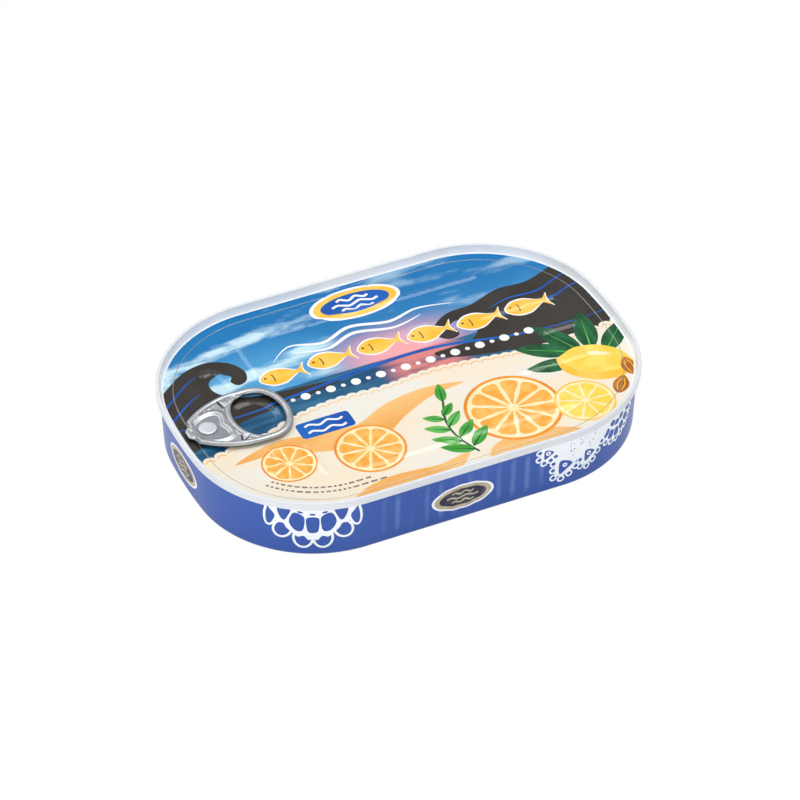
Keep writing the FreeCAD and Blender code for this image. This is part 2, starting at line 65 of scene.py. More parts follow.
BASE_INSET = 1.9
BASE_ROUND = 2
RECESS_INSET = 6
RECESS_DEPTH = 0.8
FLUTE_PITCH = 4.6
FLUTE_DEPTH = 0.2
FLUTE_REACH = 12 * FLUTE_PITCH / 2
# Points along a printed curve stand about this far apart.
STEP = 0.8
MERGE_METRES = 2e-6
SHARP_TURN = radians(40)

# --- Outlines ---

CORNER_Y = HALF_WIDTH - CORNER_RADIUS
BOW_X = HALF_LENGTH - END_RADIUS
CORNER_X = BOW_X + sqrt((END_RADIUS - CORNER_RADIUS) ** 2 - CORNER_Y ** 2)
BOW_TURN = atan2(CORNER_Y, CORNER_X - BOW_X)


def ray(centre, angle, reach):
    """The point at a reach from a centre."""
    return centre[0] + reach * cos(angle), centre[1] + reach * sin(angle)


def between(start, end, share):
    return start[0] + (end[0] - start[0]) * share, start[1] + (end[1] - start[1]) * share


def leftward(start, end):
    """The unit direction to the left of the way from start to end."""
    run = dist(start, end)
    return (start[1] - end[1]) / run, (end[0] - start[0]) / run


def outline_pieces():
    """The seam's outline from the -X end's middle along the front and back round: each piece's length,
    and its point and outward normal at a share."""
    bow, corner, side = END_RADIUS * BOW_TURN, CORNER_RADIUS * (pi / 2 - BOW_TURN), 2 * CORNER_X

    def arc(centre, radius, start, end):
        def at(share):
            angle = start + (end - start) * share
            return ray(centre, angle, radius), (cos(angle), sin(angle))
        return at

    def line(x, y):
        return lambda share: (between((x, y), (-x, y), share), (0, y / HALF_WIDTH))

    return [
        (bow, arc((-BOW_X, 0), END_RADIUS, pi, pi + BOW_TURN)),
        (corner, arc((-CORNER_X, -CORNER_Y), CORNER_RADIUS, pi + BOW_TURN, 1.5 * pi)),
        (side, line(-CORNER_X, -HALF_WIDTH)),
        (corner, arc((CORNER_X, -CORNER_Y), CORNER_RADIUS, -pi / 2, -BOW_TURN)),
        (2 * bow, arc((BOW_X, 0), END_RADIUS, -BOW_TURN, BOW_TURN)),
        (corner, arc((CORNER_X, CORNER_Y), CORNER_RADIUS, BOW_TURN, pi / 2)),
        (side, line(CORNER_X, HALF_WIDTH)),
        (corner, arc((-CORNER_X, CORNER_Y), CORNER_RADIUS, pi / 2, pi - BOW_TURN)),
        (bow, arc((-BOW_X, 0), END_RADIUS, pi - BOW_TURN, pi)),
    ]


OUTLINE = outline_pieces()
PERIMETER = sum(length for length, _ in OUTLINE)


def on_outline(run, inset=0):
    """The point at a run along the seam's outline, moved inward."""
    run %= PERIMETER
    for length, at in OUTLINE:
        if run <= length:
            point, normal = at(run / length)
            return point[0] - inset * normal[0], point[1] - inset * normal[1]
        run -= length
    return on_outline(0, inset)


def inset_of(x, y):
    """How far inside the seam's outline a point lies."""
    x, y = abs(x), abs(y)
    if y <= (x - BOW_X) * tan(BOW_TURN):
        return END_RADIUS - hypot(x - BOW_X, y)
    if x > CORNER_X:
        return CORNER_RADIUS - hypot(x - CORNER_X, y - CORNER_Y)
    return HALF_WIDTH - y


def curve(points, step=STEP, closed=True):
    """A smooth line through points, sampled about every step."""
    count = len(points)
    made = []
    for index in range(count if closed else count - 1):
        near = range(index - 1, index + 3)
        a, b, c, d = (points[k % count if closed else min(max(k, 0), count - 1)] for k in near)
        steps = max(1, round(dist(b, c) / step))
        for k in range(steps):
            t = k / steps
            made.append(tuple(
                0.5 * (2 * b[i] + (c[i] - a[i]) * t + (2 * a[i] - 5 * b[i] + 4 * c[i] - d[i]) * t * t
                       + (3 * b[i] - a[i] - 3 * c[i] + d[i]) * t ** 3) for i in (0, 1)))
    return made if closed else made + [tuple(points[-1])]


def pair(radii):
    return radii if isinstance(radii, tuple) else (radii, radii)


def ellipse(centre, radii, step, tilt=0):
    """A tilted ellipse, or a circle where radii is one radius."""
    a, b = pair(radii)
    count = max(8, round(pi * (a + b) / step))
    made = []
    for k in range(count):
        angle = 2 * pi * k / count
        u, v = a * cos(angle), b * sin(angle)
        made.append((centre[0] + u * cos(tilt) - v * sin(tilt), centre[1] + u * sin(tilt) + v * cos(tilt)))
    return made


def arc_between(centre, radii, start, end, count):
    """Points along an arc; radii is one radius or a pair."""
    a, b = pair(radii)
    angles = [start + (end - start) * k / count for k in range(count + 1)]
    return [(centre[0] + a * cos(angle), centre[1] + b * sin(angle)) for angle in angles]


def ribbon(path, width):
    """The outline of a band along an open path; width is a number or a function of the share along it."""
    left, right = [], []
    last = len(path) - 1
    for k, (x, y) in enumerate(path):
        aside = leftward(path[max(k - 1, 0)], path[min(k + 1, last)])
        half = (width(k / last) if callable(width) else width) / 2
        left.append((x + half * aside[0], y + half * aside[1]))
        right.append((x - half * aside[0], y - half * aside[1]))
    return left + right[::-1]


def stroke(points, width, step=STEP):
    """The outline of a band along a smooth open line through points."""
    return ribbon(curve(points, step, False), width)


def swelling(ends, swell):
    """A width that is small at both ends and grows by swell in the middle."""
    return lambda share: ends + swell * sin(pi * share)


def placed(points, centre, scale=1, tilt=0):
    """Points round an origin, turned, scaled and moved."""
    return [(centre[0] + scale * (u * cos(tilt) - v * sin(tilt)),
             centre[1] + scale * (u * sin(tilt) + v * cos(tilt))) for u, v in points]


def both_sides(upper):
    """A closed outline from its upper half, whose two ends lie on the middle line."""
    return upper + [(x, -y) for x, y in reversed(upper[1:-1])]


def sides(outline):
    """The sides of a closed outline, each as (start, end)."""
    return zip(outline, outline[1:] + outline[:1])


# --- Cutting a print into a mesh ---

def turned_left(outline):
    """The outline in counter-clockwise order."""
    area = sum(ax * by - bx * ay for (ax, ay), (bx, by) in sides(outline))
    return outline if area > 0 else outline[::-1]


def drop_unused(vertices, faces):
    """The vertices that faces use, and the faces numbered to suit."""
    used = sorted({index for face in faces for index in face})
    order = {index: k for k, index in enumerate(used)}
    return [vertices[index] for index in used], [[order[index] for index in face] for face in faces]


def cut_print(border, shapes, points):
    """Triangles inside border, cut along every shape: (vertices, triangles, inks).
    A triangle takes the ink of the last shape that holds it, or None."""
    vertices, faces = [], []
    for outline in [border] + [outline for outline, _ in shapes]:
        first = len(vertices)
        vertices += [Vector(point) for point in turned_left(outline)]
        faces.append(list(range(first, len(vertices))))
    vertices += [Vector(point) for point in points]
    made, _, triangles, _, _, sources = delaunay_2d_cdt(vertices, [], faces, 1, 1e-4, True)
    kept, inks = [], []
    for triangle, source in zip(triangles, sources):
        if 0 in source:
            top = max(source)
            kept.append(triangle)
            inks.append(shapes[top - 1][1] if top else None)
    return *drop_unused([tuple(place) for place in made], kept), inks


def add_object(name, data):
    made = bpy.data.objects.new(name, data)
    bpy.context.scene.collection.objects.link(made)
    return made


class Builder:
    """Collects vertices and faces with their materials, and joins them into one object."""

    def __init__(self):
        self.vertices = []
        self.faces = []
        self.materials = []

    def add(self, vertices, faces, materials):
        """Adds faces; materials is one for all of them, or a list with one for each."""
        first = len(self.vertices)
        self.vertices += vertices
        self.faces += [[first + index for index in face] for face in faces]
        self.materials += materials if isinstance(materials, list) else [materials] * len(faces)

    def add_rows(self, rows, material):
        """Quads between closed rows of points that have equal counts."""
        count = len(rows[0])
        faces = []
        for first in range(0, (len(rows) - 1) * count, count):
            for k in range(count):
                a, b = first + k, first + (k + 1) % count
                faces.append([a, b, b + count, a + count])
        self.add([point for row in rows for point in row], faces, material)

    def build(self, name):
        vertices, faces = drop_unused(self.vertices, self.faces)
        slots = list(dict.fromkeys(self.materials))
        mesh = bpy.data.meshes.new(name)
        mesh.from_pydata([[axis * MM for axis in vertex] for vertex in vertices], [], faces)
        for material in slots:
            mesh.materials.append(material)
        mesh.polygons.foreach_set("material_index", [slots.index(material) for material in self.materials])
        shape = bmesh.new()
        shape.from_mesh(mesh)
        bmesh.ops.remove_doubles(shape, verts=shape.verts, dist=MERGE_METRES)
        bmesh.ops.recalc_face_normals(shape, faces=shape.faces)
        shape.to_mesh(mesh)
        shape.free()
        mesh.shade_smooth()
        mesh.set_sharp_from_angle(angle=SHARP_TURN)
        piece = add_object(name, mesh)
        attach(piece, "root")
        return piece


# --- Materials ---

def linear(red, green, blue):
    """A display colour, 0 to 255, as scene-linear RGBA."""
    def channel(value):
        value /= 255
        return value / 12.92 if value <= 0.04045 else ((value + 0.055) / 1.055) ** 2.4
    return channel(red), channel(green), channel(blue), 1


class Nodes:
    """Short calls for building the node tree of a material or a world."""

    def __init__(self, owner, shader="Principled BSDF"):
        owner.use_nodes = True
        self.owner = owner
        self.tree = owner.node_tree
        self.shader = self.tree.nodes[shader]

    def put(self, source, socket):
        if isinstance(source, bpy.types.NodeSocket):
            self.tree.links.new(source, socket)
        else:
            socket.default_value = source

    def make(self, kind, inputs=None, **settings):
        """A node with its settings, and a value or a link for each input that is named."""
        node = self.tree.nodes.new(kind)
        for key, setting in settings.items():
            setattr(node, key, setting)
        for key, source in (inputs or {}).items():
            self.put(source, node.inputs[key])
        return node

    def place(self, space="Object"):
        return self.make("ShaderNodeTexCoord").outputs[space]

    def axes(self, space="Object"):
        return self.make("ShaderNodeSeparateXYZ", {0: self.place(space)}).outputs

    def math(self, operation, *values):
        return self.make("ShaderNodeMath", dict(enumerate(values)), operation=operation).outputs[0]

    def product(self, first, *others):
        for other in others:
            first = self.math("MULTIPLY", first, other)
        return first

    def away(self, axis, middle):
        """How far an axis lies from a middle, to either side."""
        return self.math("ABSOLUTE", self.math("SUBTRACT", axis, middle))

    def noise(self, size_mm, detail=2, stretch=(1, 1, 1), turn=0, shift=0):
        """Noise whose blobs are about size_mm across, longer along an axis by its stretch."""
        scale = [1 / (size_mm * MM * share) for share in stretch]
        mapping = self.make("ShaderNodeMapping", {
            "Vector": self.place(), "Rotation": (0, 0, turn), "Scale": scale, "Location": (shift, shift, 0)})
        noise = self.make("ShaderNodeTexNoise", {"Vector": mapping.outputs[0], "Scale": 1, "Detail": detail})
        return noise.outputs["Fac"]

    def ramp(self, factor, low, high):
        """0 below low, 1 above high, smooth between."""
        inputs = {"Value": factor, "From Min": low, "From Max": high}
        return self.make("ShaderNodeMapRange", inputs, interpolation_type="SMOOTHSTEP").outputs["Result"]

    def mix(self, factor, first, second):
        inputs = {"Factor": factor, "A": first, "B": second}
        return self.make("ShaderNodeMix", inputs, data_type="RGBA").outputs["Result"]

    def bump(self, height, distance_mm, strength):
        inputs = {"Strength": strength, "Distance": distance_mm * MM, "Height": height}
        self.put(self.make("ShaderNodeBump", inputs).outputs[0], self.shader.inputs["Normal"])

    def show_white(self, kind, output):
        """White for the camera, mirrors and glass, and the shader itself for every other ray."""
        path = self.make("ShaderNodeLightPath").outputs
        seen = path["Is Camera Ray"]
        for ray_kind in ("Is Glossy Ray", "Is Transmission Ray"):
            seen = self.math("MAXIMUM", seen, path[ray_kind])
        white = self.make(kind, {"Color": (1, 1, 1, 1), "Strength": 1})
        blend = self.make("ShaderNodeMixShader", {0: seen, 1: self.shader.outputs[0], 2: white.outputs[0]})
        self.put(blend.outputs[0], self.tree.nodes[output].inputs["Surface"])

    def finish(self, color, **settings):
        for key, source in {"Base Color": color, **settings}.items():
            self.put(source, self.shader.inputs[key])
        return self.owner


def material_nodes(name):
    return Nodes(bpy.data.materials.new(name))


# What the coat's reflection adds to a printed colour, taken off its ink.
GLOSS_LIFT = 0.018
GLOSS = {"Roughness": 0.4, "Specular IOR Level": 0.05, "Coat Weight": 0.3, "Coat Roughness": 0.1}


def printed(red, green, blue):
    """The ink that shows a display colour under the glossy coat."""
    return tuple(max(0.002, channel - GLOSS_LIFT) for channel in linear(red, green, blue)[:3]) + (1,)


def ink(name, first, second, size_mm, stretch=(1, 1, 1), turn=0):
    """A printed colour that drifts between two tones."""
    nodes = material_nodes(name)
    drift = nodes.ramp(nodes.noise(size_mm, 3, stretch, turn), 0.35, 0.65)
    return nodes.finish(nodes.mix(drift, printed(*first), printed(*second)), **GLOSS)


def sky_ink():
    """Evening sky: deep blue above, a rosy glow low in the middle, and streaks of cloud."""
    nodes = material_nodes("ink_sky")
    x, y, _ = nodes.axes()
    color = nodes.mix(nodes.ramp(y, 0.016, 0.038), printed(86, 158, 206), printed(22, 122, 180))
    deep = nodes.ramp(nodes.noise(26, 3, (2.6, 1, 1), 0.1), 0.42, 0.62)
    color = nodes.mix(nodes.product(deep, 0.7), color, printed(26, 112, 172))
    glow = nodes.product(nodes.ramp(nodes.away(x, 0.006), 0.03, 0.004), nodes.ramp(y, 0.027, 0.012))
    color = nodes.mix(glow, color, printed(238, 166, 172))
    streaks = nodes.ramp(nodes.noise(9, 5, (3.4, 1, 1), 0.22, 3), 0.5, 0.66)
    thick = nodes.math("MULTIPLY_ADD", nodes.ramp(x, 0.004, -0.034), 0.75, 0.5)
    return nodes.finish(nodes.mix(nodes.product(streaks, thick), color, printed(196, 226, 238)), **GLOSS)


def water_ink():
    """Still water: blue, with the glow's pink below it."""
    nodes = material_nodes("ink_water")
    ripples = nodes.noise(3, 3, (7, 1, 1))
    color = nodes.mix(nodes.ramp(ripples, 0.35, 0.7), printed(38, 78, 112), printed(58, 112, 146))
    beside = nodes.away(nodes.axes()[0], 0.01)
    glow = nodes.product(nodes.ramp(beside, 0.016, 0.006), nodes.ramp(ripples, 0.2, 0.5))
    return nodes.finish(nodes.mix(glow, color, printed(214, 132, 130)), **GLOSS)


def wall_ink_with_painted_sheen():
    """The wall's blue, with a painted sheen: pale streaks painted along the flutes of both long sides, where
    they would catch the light.
    """
    nodes = material_nodes("ink_wall_blue_with_painted_sheen")
    x, y, z = nodes.axes()
    drift = nodes.ramp(nodes.noise(30, 3, (1, 1, 3)), 0.35, 0.65)
    color = nodes.mix(drift, printed(67, 94, 168), printed(72, 100, 174))
    turn = nodes.math("FRACT", nodes.math("ADD", nodes.product(x, 1 / (FLUTE_PITCH * MM)), 0.34))
    crest = nodes.ramp(nodes.away(turn, 0.5), 0.28, 0.03)
    reach = nodes.ramp(nodes.away(x, 0), 0.03, 0.024)
    side = nodes.ramp(nodes.away(y, 0), 0.0455, 0.046)
    height = nodes.product(nodes.ramp(z, 0.0022, 0.006), nodes.ramp(z, 0.0185, 0.015))
    patchy = nodes.ramp(nodes.noise(9, 2, (1, 1, 4)), 0.35, 0.62)
    # A painted highlight: pale streaks on the flute crests that stand in for the light the flutes catch.
    painted_sheen = nodes.product(nodes.product(crest, reach), nodes.product(side, height), patchy, 0.45)
    return nodes.finish(nodes.mix(painted_sheen, color, printed(124, 150, 212)), **GLOSS)


def lacquer(name, tone, drift):
    """White lacquer over metal, with a faint unevenness."""
    nodes = material_nodes(name)
    factor = nodes.ramp(nodes.noise(14), 0.3, 0.7)
    nodes.bump(nodes.noise(9), 0.05, 0.25)
    return nodes.finish(nodes.mix(factor, linear(*tone), linear(*drift)), **{**GLOSS, "Roughness": 0.28})


def bare_metal(name, tone, roughness, grain_mm):
    """Bare aluminium: rolling grain along X and small handling marks."""
    nodes = material_nodes(name)
    lines = nodes.noise(0.6, 2, (14, 1, 1))
    clouds = nodes.ramp(nodes.noise(5, 3), 0.3, 0.7)
    color = nodes.mix(clouds, linear(*tone), linear(*(min(255, channel + 10) for channel in tone)))
    inputs = {"Value": lines, "To Min": roughness - 0.05, "To Max": roughness + 0.08}
    rough = nodes.make("ShaderNodeMapRange", inputs).outputs["Result"]
    nodes.bump(lines, grain_mm, 0.3)
    return nodes.finish(color, Roughness=rough, Metallic=1)


# Two tones, the size of the drift between them in mm, its stretch and its turn.
TONES = {
    "night": ((58, 54, 51), (64, 61, 58), 12),
    "cream": ((230, 226, 216), (236, 222, 198), 16, (2.4, 1, 1), 0.5),
    "sauce": ((238, 190, 124), (232, 166, 88), 15, (2.4, 1, 1), 0.4),
    "rind": ((226, 134, 48), (238, 152, 62), 6),
    "orange": ((243, 164, 70), (246, 186, 100), 3.5),
    "pith": ((248, 224, 170), (250, 234, 196), 6),
    "leaf": ((66, 152, 60), (104, 184, 92), 5, (2, 1, 1), 0.7),
    "leaf_dark": ((26, 78, 54), (48, 108, 70), 4, (1, 2, 1), 0.6),
    "yellow": ((240, 204, 84), (246, 218, 110), 6),
    "gold": ((240, 186, 60), (244, 200, 96), 7),
    "brown": ((158, 92, 44), (184, 116, 60), 3, (3, 1, 1), 0.5),
    "white": ((238, 238, 240), (244, 244, 246), 9),
    "blue": ((26, 84, 166), (38, 100, 184), 8),
    "grey": ((120, 112, 104), (140, 132, 122), 3),
}
INKS = {name: ink("ink_" + name, *tones) for name, tones in TONES.items()}
INKS.update(sky=sky_ink(), water=water_ink())
WALL_BLUE = wall_ink_with_painted_sheen()
LACE_WHITE = ink("ink_lace", (238, 243, 248), (245, 249, 252), 12)
MEDAL_SAND = ink("ink_medal_sand", (176, 164, 140), (200, 190, 166), 3)
MEDAL_DARK = ink("ink_medal_dark", (58, 60, 78), (84, 84, 96), 3)
SEAM_WHITE = lacquer("seam_lacquer", (214, 218, 223), (221, 225, 230))
# The chuck wall's white is the seam's lacquer painted lighter, to lift the shade that falls inside the seam.
CHUCK_WHITE_PAINTED_LIGHT = lacquer("chuck_lacquer_painted_light", (236, 240, 245), (242, 246, 250))
# The score's grey line is painted shade and highlight: it stands in for how the shallow groove catches and
# loses the light.
SCORE_PAINTED_SHADE_AND_HIGHLIGHT = lacquer("score_painted_shade_and_highlight", (138, 134, 126), (156, 152, 144))
BASE_METAL = bare_metal("base_metal", (196, 196, 190), 0.32, 0.01)
TAB_METAL = bare_metal("tab_metal", (145, 148, 151), 0.37, 0.004)
# The tongue's metal is the tab's metal painted darker: painted shade for the darker surroundings that the
# sunk tongue reflects.
TONGUE_METAL_PAINTED_SHADE = bare_metal("tongue_metal_painted_shade", (121, 126, 131), 0.4, 0.003)
TAB_SHADE = bare_metal("tab_shade", (70, 72, 76), 0.5, 0.006)
# The rivet's metal also serves the slit facets, where its lighter tone is a painted highlight.
RIVET_AND_FACET_HIGHLIGHT_METAL = bare_metal("rivet_metal", (172, 175, 180), 0.46, 0.003)

# --- The lid's relief ---

BEAD_HALF = 1.4
BEAD_HEIGHT = 0.43
WELL_X, WELL_RADIUS, WELL_FLOOR_RADIUS, WELL_DEPTH = 24 - HALF_LENGTH, 8.8, 6, 0.7
LONG_END, MID_END, CROSS_X = HALF_LENGTH - 30.3, HALF_LENGTH - 13.5, 33.3 - HALF_LENGTH
LONG_Y = HALF_WIDTH - 15


def bead_paths():
    """The middle lines of the panel's raised beads."""
    paths = []
    for side in (-1, 1):
        paths.append([(LONG_END - 68, side * LONG_Y), (LONG_END, side * LONG_Y)])
        paths.append([(MID_END - 24, side * 14.2), (MID_END, side * 14.2)])
        paths.append([(CROSS_X, side * 17.5), (CROSS_X, side * 30.5)])
        hook = curve([(-52.4, 24.3), (-50.4, 24.4), (-48.6, 23.3), (-47.7, 20.2), (-47, 16)], 0.4, False)
        paths.append([(x, side * y) for x, y in hook])
    return paths + [[(MID_END - 10, 0), (MID_END, 0)]]


def distance_to_path(x, y, path):
    best = 1e9
    for (ax, ay), (bx, by) in zip(path, path[1:]):
        dx, dy = bx - ax, by - ay
        share = min(1, max(0, ((x - ax) * dx + (y - ay) * dy) / (dx * dx + dy * dy)))
        best = min(best, hypot(x - ax - share * dx, y - ay - share * dy))
    return best


def distance_to_edge(x, y, outline):
    return distance_to_path(x, y, outline + outline[:1])


def reaches(path, margin):
    """The box round a path as its two corners, wider by a margin."""
    return [[limit(point[axis] for point in path) + grow for axis in (0, 1)]
            for limit, grow in ((min, -margin), (max, margin))]


# Each bead's path with the least and greatest x that it reaches.
BEADS = [(path, reaches(path, BEAD_HALF)[0][0], reaches(path, BEAD_HALF)[1][0]) for path in bead_paths()]


def smooth(share):
    share = min(1, max(0, share))
    return share * share * (3 - 2 * share)


def panel_height(x, y):
    """Height of the panel above or below its flat level."""
    height = 0
    for path, low, high in BEADS:
        if low <= x <= high:
            away = distance_to_path(x, y, path)
            if away < BEAD_HALF:
                height = max(height, BEAD_HEIGHT * min(1, 1.12 * (1 - away / BEAD_HALF)))
    away = hypot(x - WELL_X, y)
    if away < WELL_RADIUS:
        height -= WELL_DEPTH * smooth((WELL_RADIUS - away) / (WELL_RADIUS - WELL_FLOOR_RADIUS))
    score = abs(inset_of(x, y) - SCORE_INSET - SCORE_WIDTH / 2)
    if score < SCORE_HALF:
        height -= SCORE_DEPTH * (1 - score / SCORE_HALF)
    return height


def follow_relief(start, end):
    """Points from start up to end, close together where the panel bends between them."""
    middle = between(start, end, 0.5)
    run = dist(start, end)
    bend = panel_height(*middle) - (panel_height(*start) + panel_height(*end)) / 2
    if inset_of(*middle) < 0 or run < 0.3 or (run < 1.6 and abs(bend) < 0.003):
        return [start]
    return follow_relief(start, middle) + follow_relief(middle, end)


def laid_on_relief(outline):
    made = []
    for start, end in sides(outline):
        made += follow_relief(start, end)
    return made


def panel_normals(mesh):
    """Gives the panel the normals of its own relief, so that no highlight follows the print's cuts."""
    reach = 0.06
    given = {}
    for vertex in mesh.vertices:
        x, y, z = (axis / MM for axis in vertex.co)
        if inset_of(x, y) > PANEL_INSET and abs(z - PANEL - panel_height(x, y)) < 0.005:
            slope_x = (panel_height(x + reach, y) - panel_height(x - reach, y)) / (2 * reach)
            slope_y = (panel_height(x, y + reach) - panel_height(x, y - reach)) / (2 * reach)
            given[vertex.index] = Vector((-slope_x, -slope_y, 1)).normalized()
    mesh.normals_split_custom_set([given.get(loop.vertex_index, (0, 0, 0)) for loop in mesh.loops])


def straight_bead_points(path):
    """Points along a straight bead and round both of its ends."""
    aside = leftward(*path)
    steps = round(dist(*path) / 1.4)
    points = []
    for share in (0, 0.11, 0.2, 0.4, 0.6, 0.8, 0.92, 1, 1.1):
        away = share * BEAD_HALF
        for k in range(steps + 1):
            x, y = between(*path, k / steps)
            for reach in (-away, away) if away else (0,):
                points.append((x + reach * aside[0], y + reach * aside[1]))
        for tip, other in (path, path[::-1]):
            heading = atan2(tip[1] - other[1], tip[0] - other[0])
            points += [ray(tip, heading + pi * (k / 8 - 0.5), away) for k in range(1, 8 if away else 0)]
    return points


def relief_points():
    """Points that follow the beads, the well and the score, so that the mesh takes their shape."""
    points = []
    for path, _, _ in BEADS:
        if len(path) > 2:
            points += grid_points(*reaches(path, BEAD_HALF), 0.3,
                                  lambda x, y: distance_to_path(x, y, path) < BEAD_HALF + 0.2)
        else:
            points += straight_bead_points(path)
    for away in (WELL_FLOOR_RADIUS - 0.5, WELL_FLOOR_RADIUS, 6.5, 7, 7.5, 8, 8.4, WELL_RADIUS, 9.2):
        points += ellipse((WELL_X, 0), away, 1.1)
    for inset in (-0.35, -0.1, 0.2, 0.5, 0.75):
        points += [on_outline(run, SCORE_INSET + inset) for run in steps_along(PERIMETER, 1.2)]
    return points


def steps_along(length, step):
    count = round(length / step)
    return [length * k / count for k in range(count)]


def grid_points(low, high, step, inside):
    """Staggered points over a box, kept where inside says so."""
    points = []
    rows = round((high[1] - low[1]) / (step * 0.866))
    for row in range(1, rows):
        y = low[1] + (high[1] - low[1]) * row / rows
        x = low[0] + (step / 2 if row % 2 else step)
        while x < high[0]:
            if inside(x, y):
                points.append((x, y))
            x += step
    return points


# --- The lid's print: fields of colour and simple shapes ---

def rolling_waves():
    """Two dark rolling waves, one from each side, with light lines that follow their backs."""
    left = [(-76, -8), (-76, 14), (-67, 21), (-58, 27.5), (-50, 29.4), (-43.6, 26.6), (-40.6, 21.4),
            (-41.6, 17), (-44.6, 15.8), (-46.4, 18), (-45.2, 20.4), (-48.6, 22.4), (-52.4, 20.2),
            (-52.2, 15.4), (-47.4, 10.8), (-38, 8.2), (-26, 7.2), (-16, 5.6), (-24, 3.4), (-36, 2.6),
            (-52, 0)]
    right = [(78, -10), (78, 27), (66, 28.5), (54, 24.6), (44, 24.8), (34, 21.4), (25.6, 20.6),
             (19.4, 16.6), (18.2, 11.8), (21, 9), (24.4, 9.8), (24.6, 12.6), (22.8, 13.6), (25.8, 16.2),
             (30.4, 14.4), (30.2, 9.4), (25, 5.6), (14, 5), (18, 1), (34, -3)]
    backs = (
        [(-74, 9.5), (-66, 16.6), (-58.5, 22.6), (-54.6, 24.6)],
        [(-74, 4), (-66, 10.5), (-60, 15), (-56.6, 16.6)],
        [(74, 22.8), (66, 23.4), (55, 19.2), (45, 19.4), (37.5, 17.2)],
        [(74, 16.8), (66, 17.4), (56, 13.8), (46, 13.6), (37.5, 11.4)],
    )
    return ([(curve(wave), "night") for wave in (left, right)]
            + [(stroke(back, swelling(0.15, 0.6)), "blue") for back in backs])


def foam_edge():
    """The level where the sea meets the cream shore, from left to right."""
    return curve([(-76, -15), (-62, -11.5), (-47, -8.6), (-33, -4.6), (-20, -3), (-6, -3.6), (10, -2.4),
                  (26, -4.2), (42, -6.2), (58, -5.4), (76, -3)], 3.4, False)


def shore():
    """Blue water with a bright line, and cream sand edged by scallops of foam."""
    edge = foam_edge()
    sea = [(x, y - 1) for x, y in edge] + [(76, 8.6), (-76, 8.6)]
    bright = [(-76, 4.2), (-52, 3.2), (-30, 4.6), (-6, 7.2), (16, 7.4), (40, 2.6), (60, 1.6), (76, 3)]
    shapes = [(sea, "water")] + rolling_waves()
    shapes.append((stroke(bright, lambda share: 0.3 + 1.1 * sin(pi * share) ** 2), "blue"))
    shapes += [(ellipse(point, (2.1, 1.7), 0.6), "cream") for point in edge]
    shapes.append((edge + [(76, -52), (-76, -52)], "cream"))
    for x, y in edge:
        shapes.append((ribbon(arc_between((x, y - 1.1), (1.5, 1.3), 0.3, pi - 0.3, 6), 0.35), "sauce"))
    return shapes


def sauce_swirls():
    """Broad soft streaks over the cream."""
    streaks = (
        ([(-60, -17), (-46, -15), (-34, -18), (-20, -20), (-8, -14), (4, -10.5), (16, -10.6)], 9.4),
        ([(-36, -46), (-26, -44), (-8, -45), (4, -40)], 8.4),
        ([(8, -46), (14, -42), (30, -44), (42, -48)], 8),
    )
    return [(stroke(path, swelling(0.2, width)), "sauce") for path, width in streaks]


def round_slice(centre, radius, skin, flesh, count, turn):
    """A round slice of citrus fruit: skin, pale pith and rounded segments."""
    shapes = [(ellipse(centre, radius, STEP), skin), (ellipse(centre, 0.93 * radius, STEP), "pith")]
    half = pi / count - 0.055
    corners = [(0.1, 0), (0.45, half - 0.05), (0.8, half), (0.86, 0), (0.8, -half), (0.45, 0.05 - half)]
    for k in range(count):
        middle = turn + 2 * pi * k / count
        segment = [ray(centre, middle + off, radius * reach) for reach, off in corners]
        shapes.append((curve(segment), flesh))
    return shapes


def leaf(base, tip, width, shade, vein):
    """A pointed leaf from base to tip, with a midrib."""
    path = [between(base, tip, k / 10) for k in range(11)]
    return [(ribbon(path, lambda share: max(0.08, width * sin(pi * share ** 0.85) ** 0.8)), shade),
            (ribbon(path[:9], lambda share: 0.6 - 0.45 * share), vein)]


def bay_sprig():
    """A stem that bows between the slices, with pairs of slender leaves."""
    stem = curve([(6.5, -41), (3.6, -33), (3.4, -25), (6.4, -16.5)], 1, False)
    shapes = [(ribbon(stem, 0.7), "leaf_dark")]
    pairs = 4
    for k in range(pairs):
        x, y = stem[2 + k * (len(stem) - 5) // pairs]
        for side in (-1, 1):
            start = (x, y + 1.6 * (side > 0))
            tip = ray(start, pi / 2 + 0.12 - side * 0.95, 10.4 - 1.2 * k)
            shapes += leaf(start, tip, 3.9 - 0.3 * k, "leaf", "leaf_dark")
    return shapes + leaf(stem[-1], (8.6, -8.4), 3.4, "leaf", "leaf_dark")


def lemon(centre, half_length, half_width, tilt):
    """A whole lemon with a nub at each end, a shaded side and a light spot."""
    a, b = half_length, half_width
    body = both_sides([(a + 2, 0), (a - 0.6, 0.36 * b), (0.62 * a, 0.8 * b), (0, b), (-0.62 * a, 0.8 * b),
                       (-a + 0.4, 0.34 * b), (-a - 1.3, 0)])
    shade = [(a + 1.4, -0.2), (0.6 * a, -0.36 * b), (0, -0.58 * b), (-0.6 * a, -0.42 * b), (-a - 0.7, -0.1),
             (-a + 0.6, -0.5 * b), (-0.58 * a, -0.84 * b), (0, -0.98 * b), (0.6 * a, -0.82 * b),
             (a - 0.3, -0.44 * b)]
    spot = [(-0.3 * a, 0.45 * b), (0.05 * a, 0.62 * b), (0.4 * a, 0.5 * b), (0.05 * a, 0.4 * b)]
    return [(curve(placed(points, centre, 1, tilt)), tone)
            for points, tone in ((body, "yellow"), (shade, "gold"), (spot, "pith"))]


def almond(centre, length, tilt):
    """A brown almond with two grooves."""
    body = both_sides([(-0.5, 0), (-0.34, 0.2), (0, 0.29), (0.3, 0.19), (0.52, 0)])
    shapes = [(curve(placed(body, centre, length, tilt), 0.6), "brown")]
    for level in (-0.09, 0.09):
        groove = [(-0.32, level * 0.8), (0, level * 1.4), (0.32, level * 0.6)]
        shapes.append((stroke(placed(groove, centre, length, tilt), 0.3, 0.7), "gold"))
    return shapes


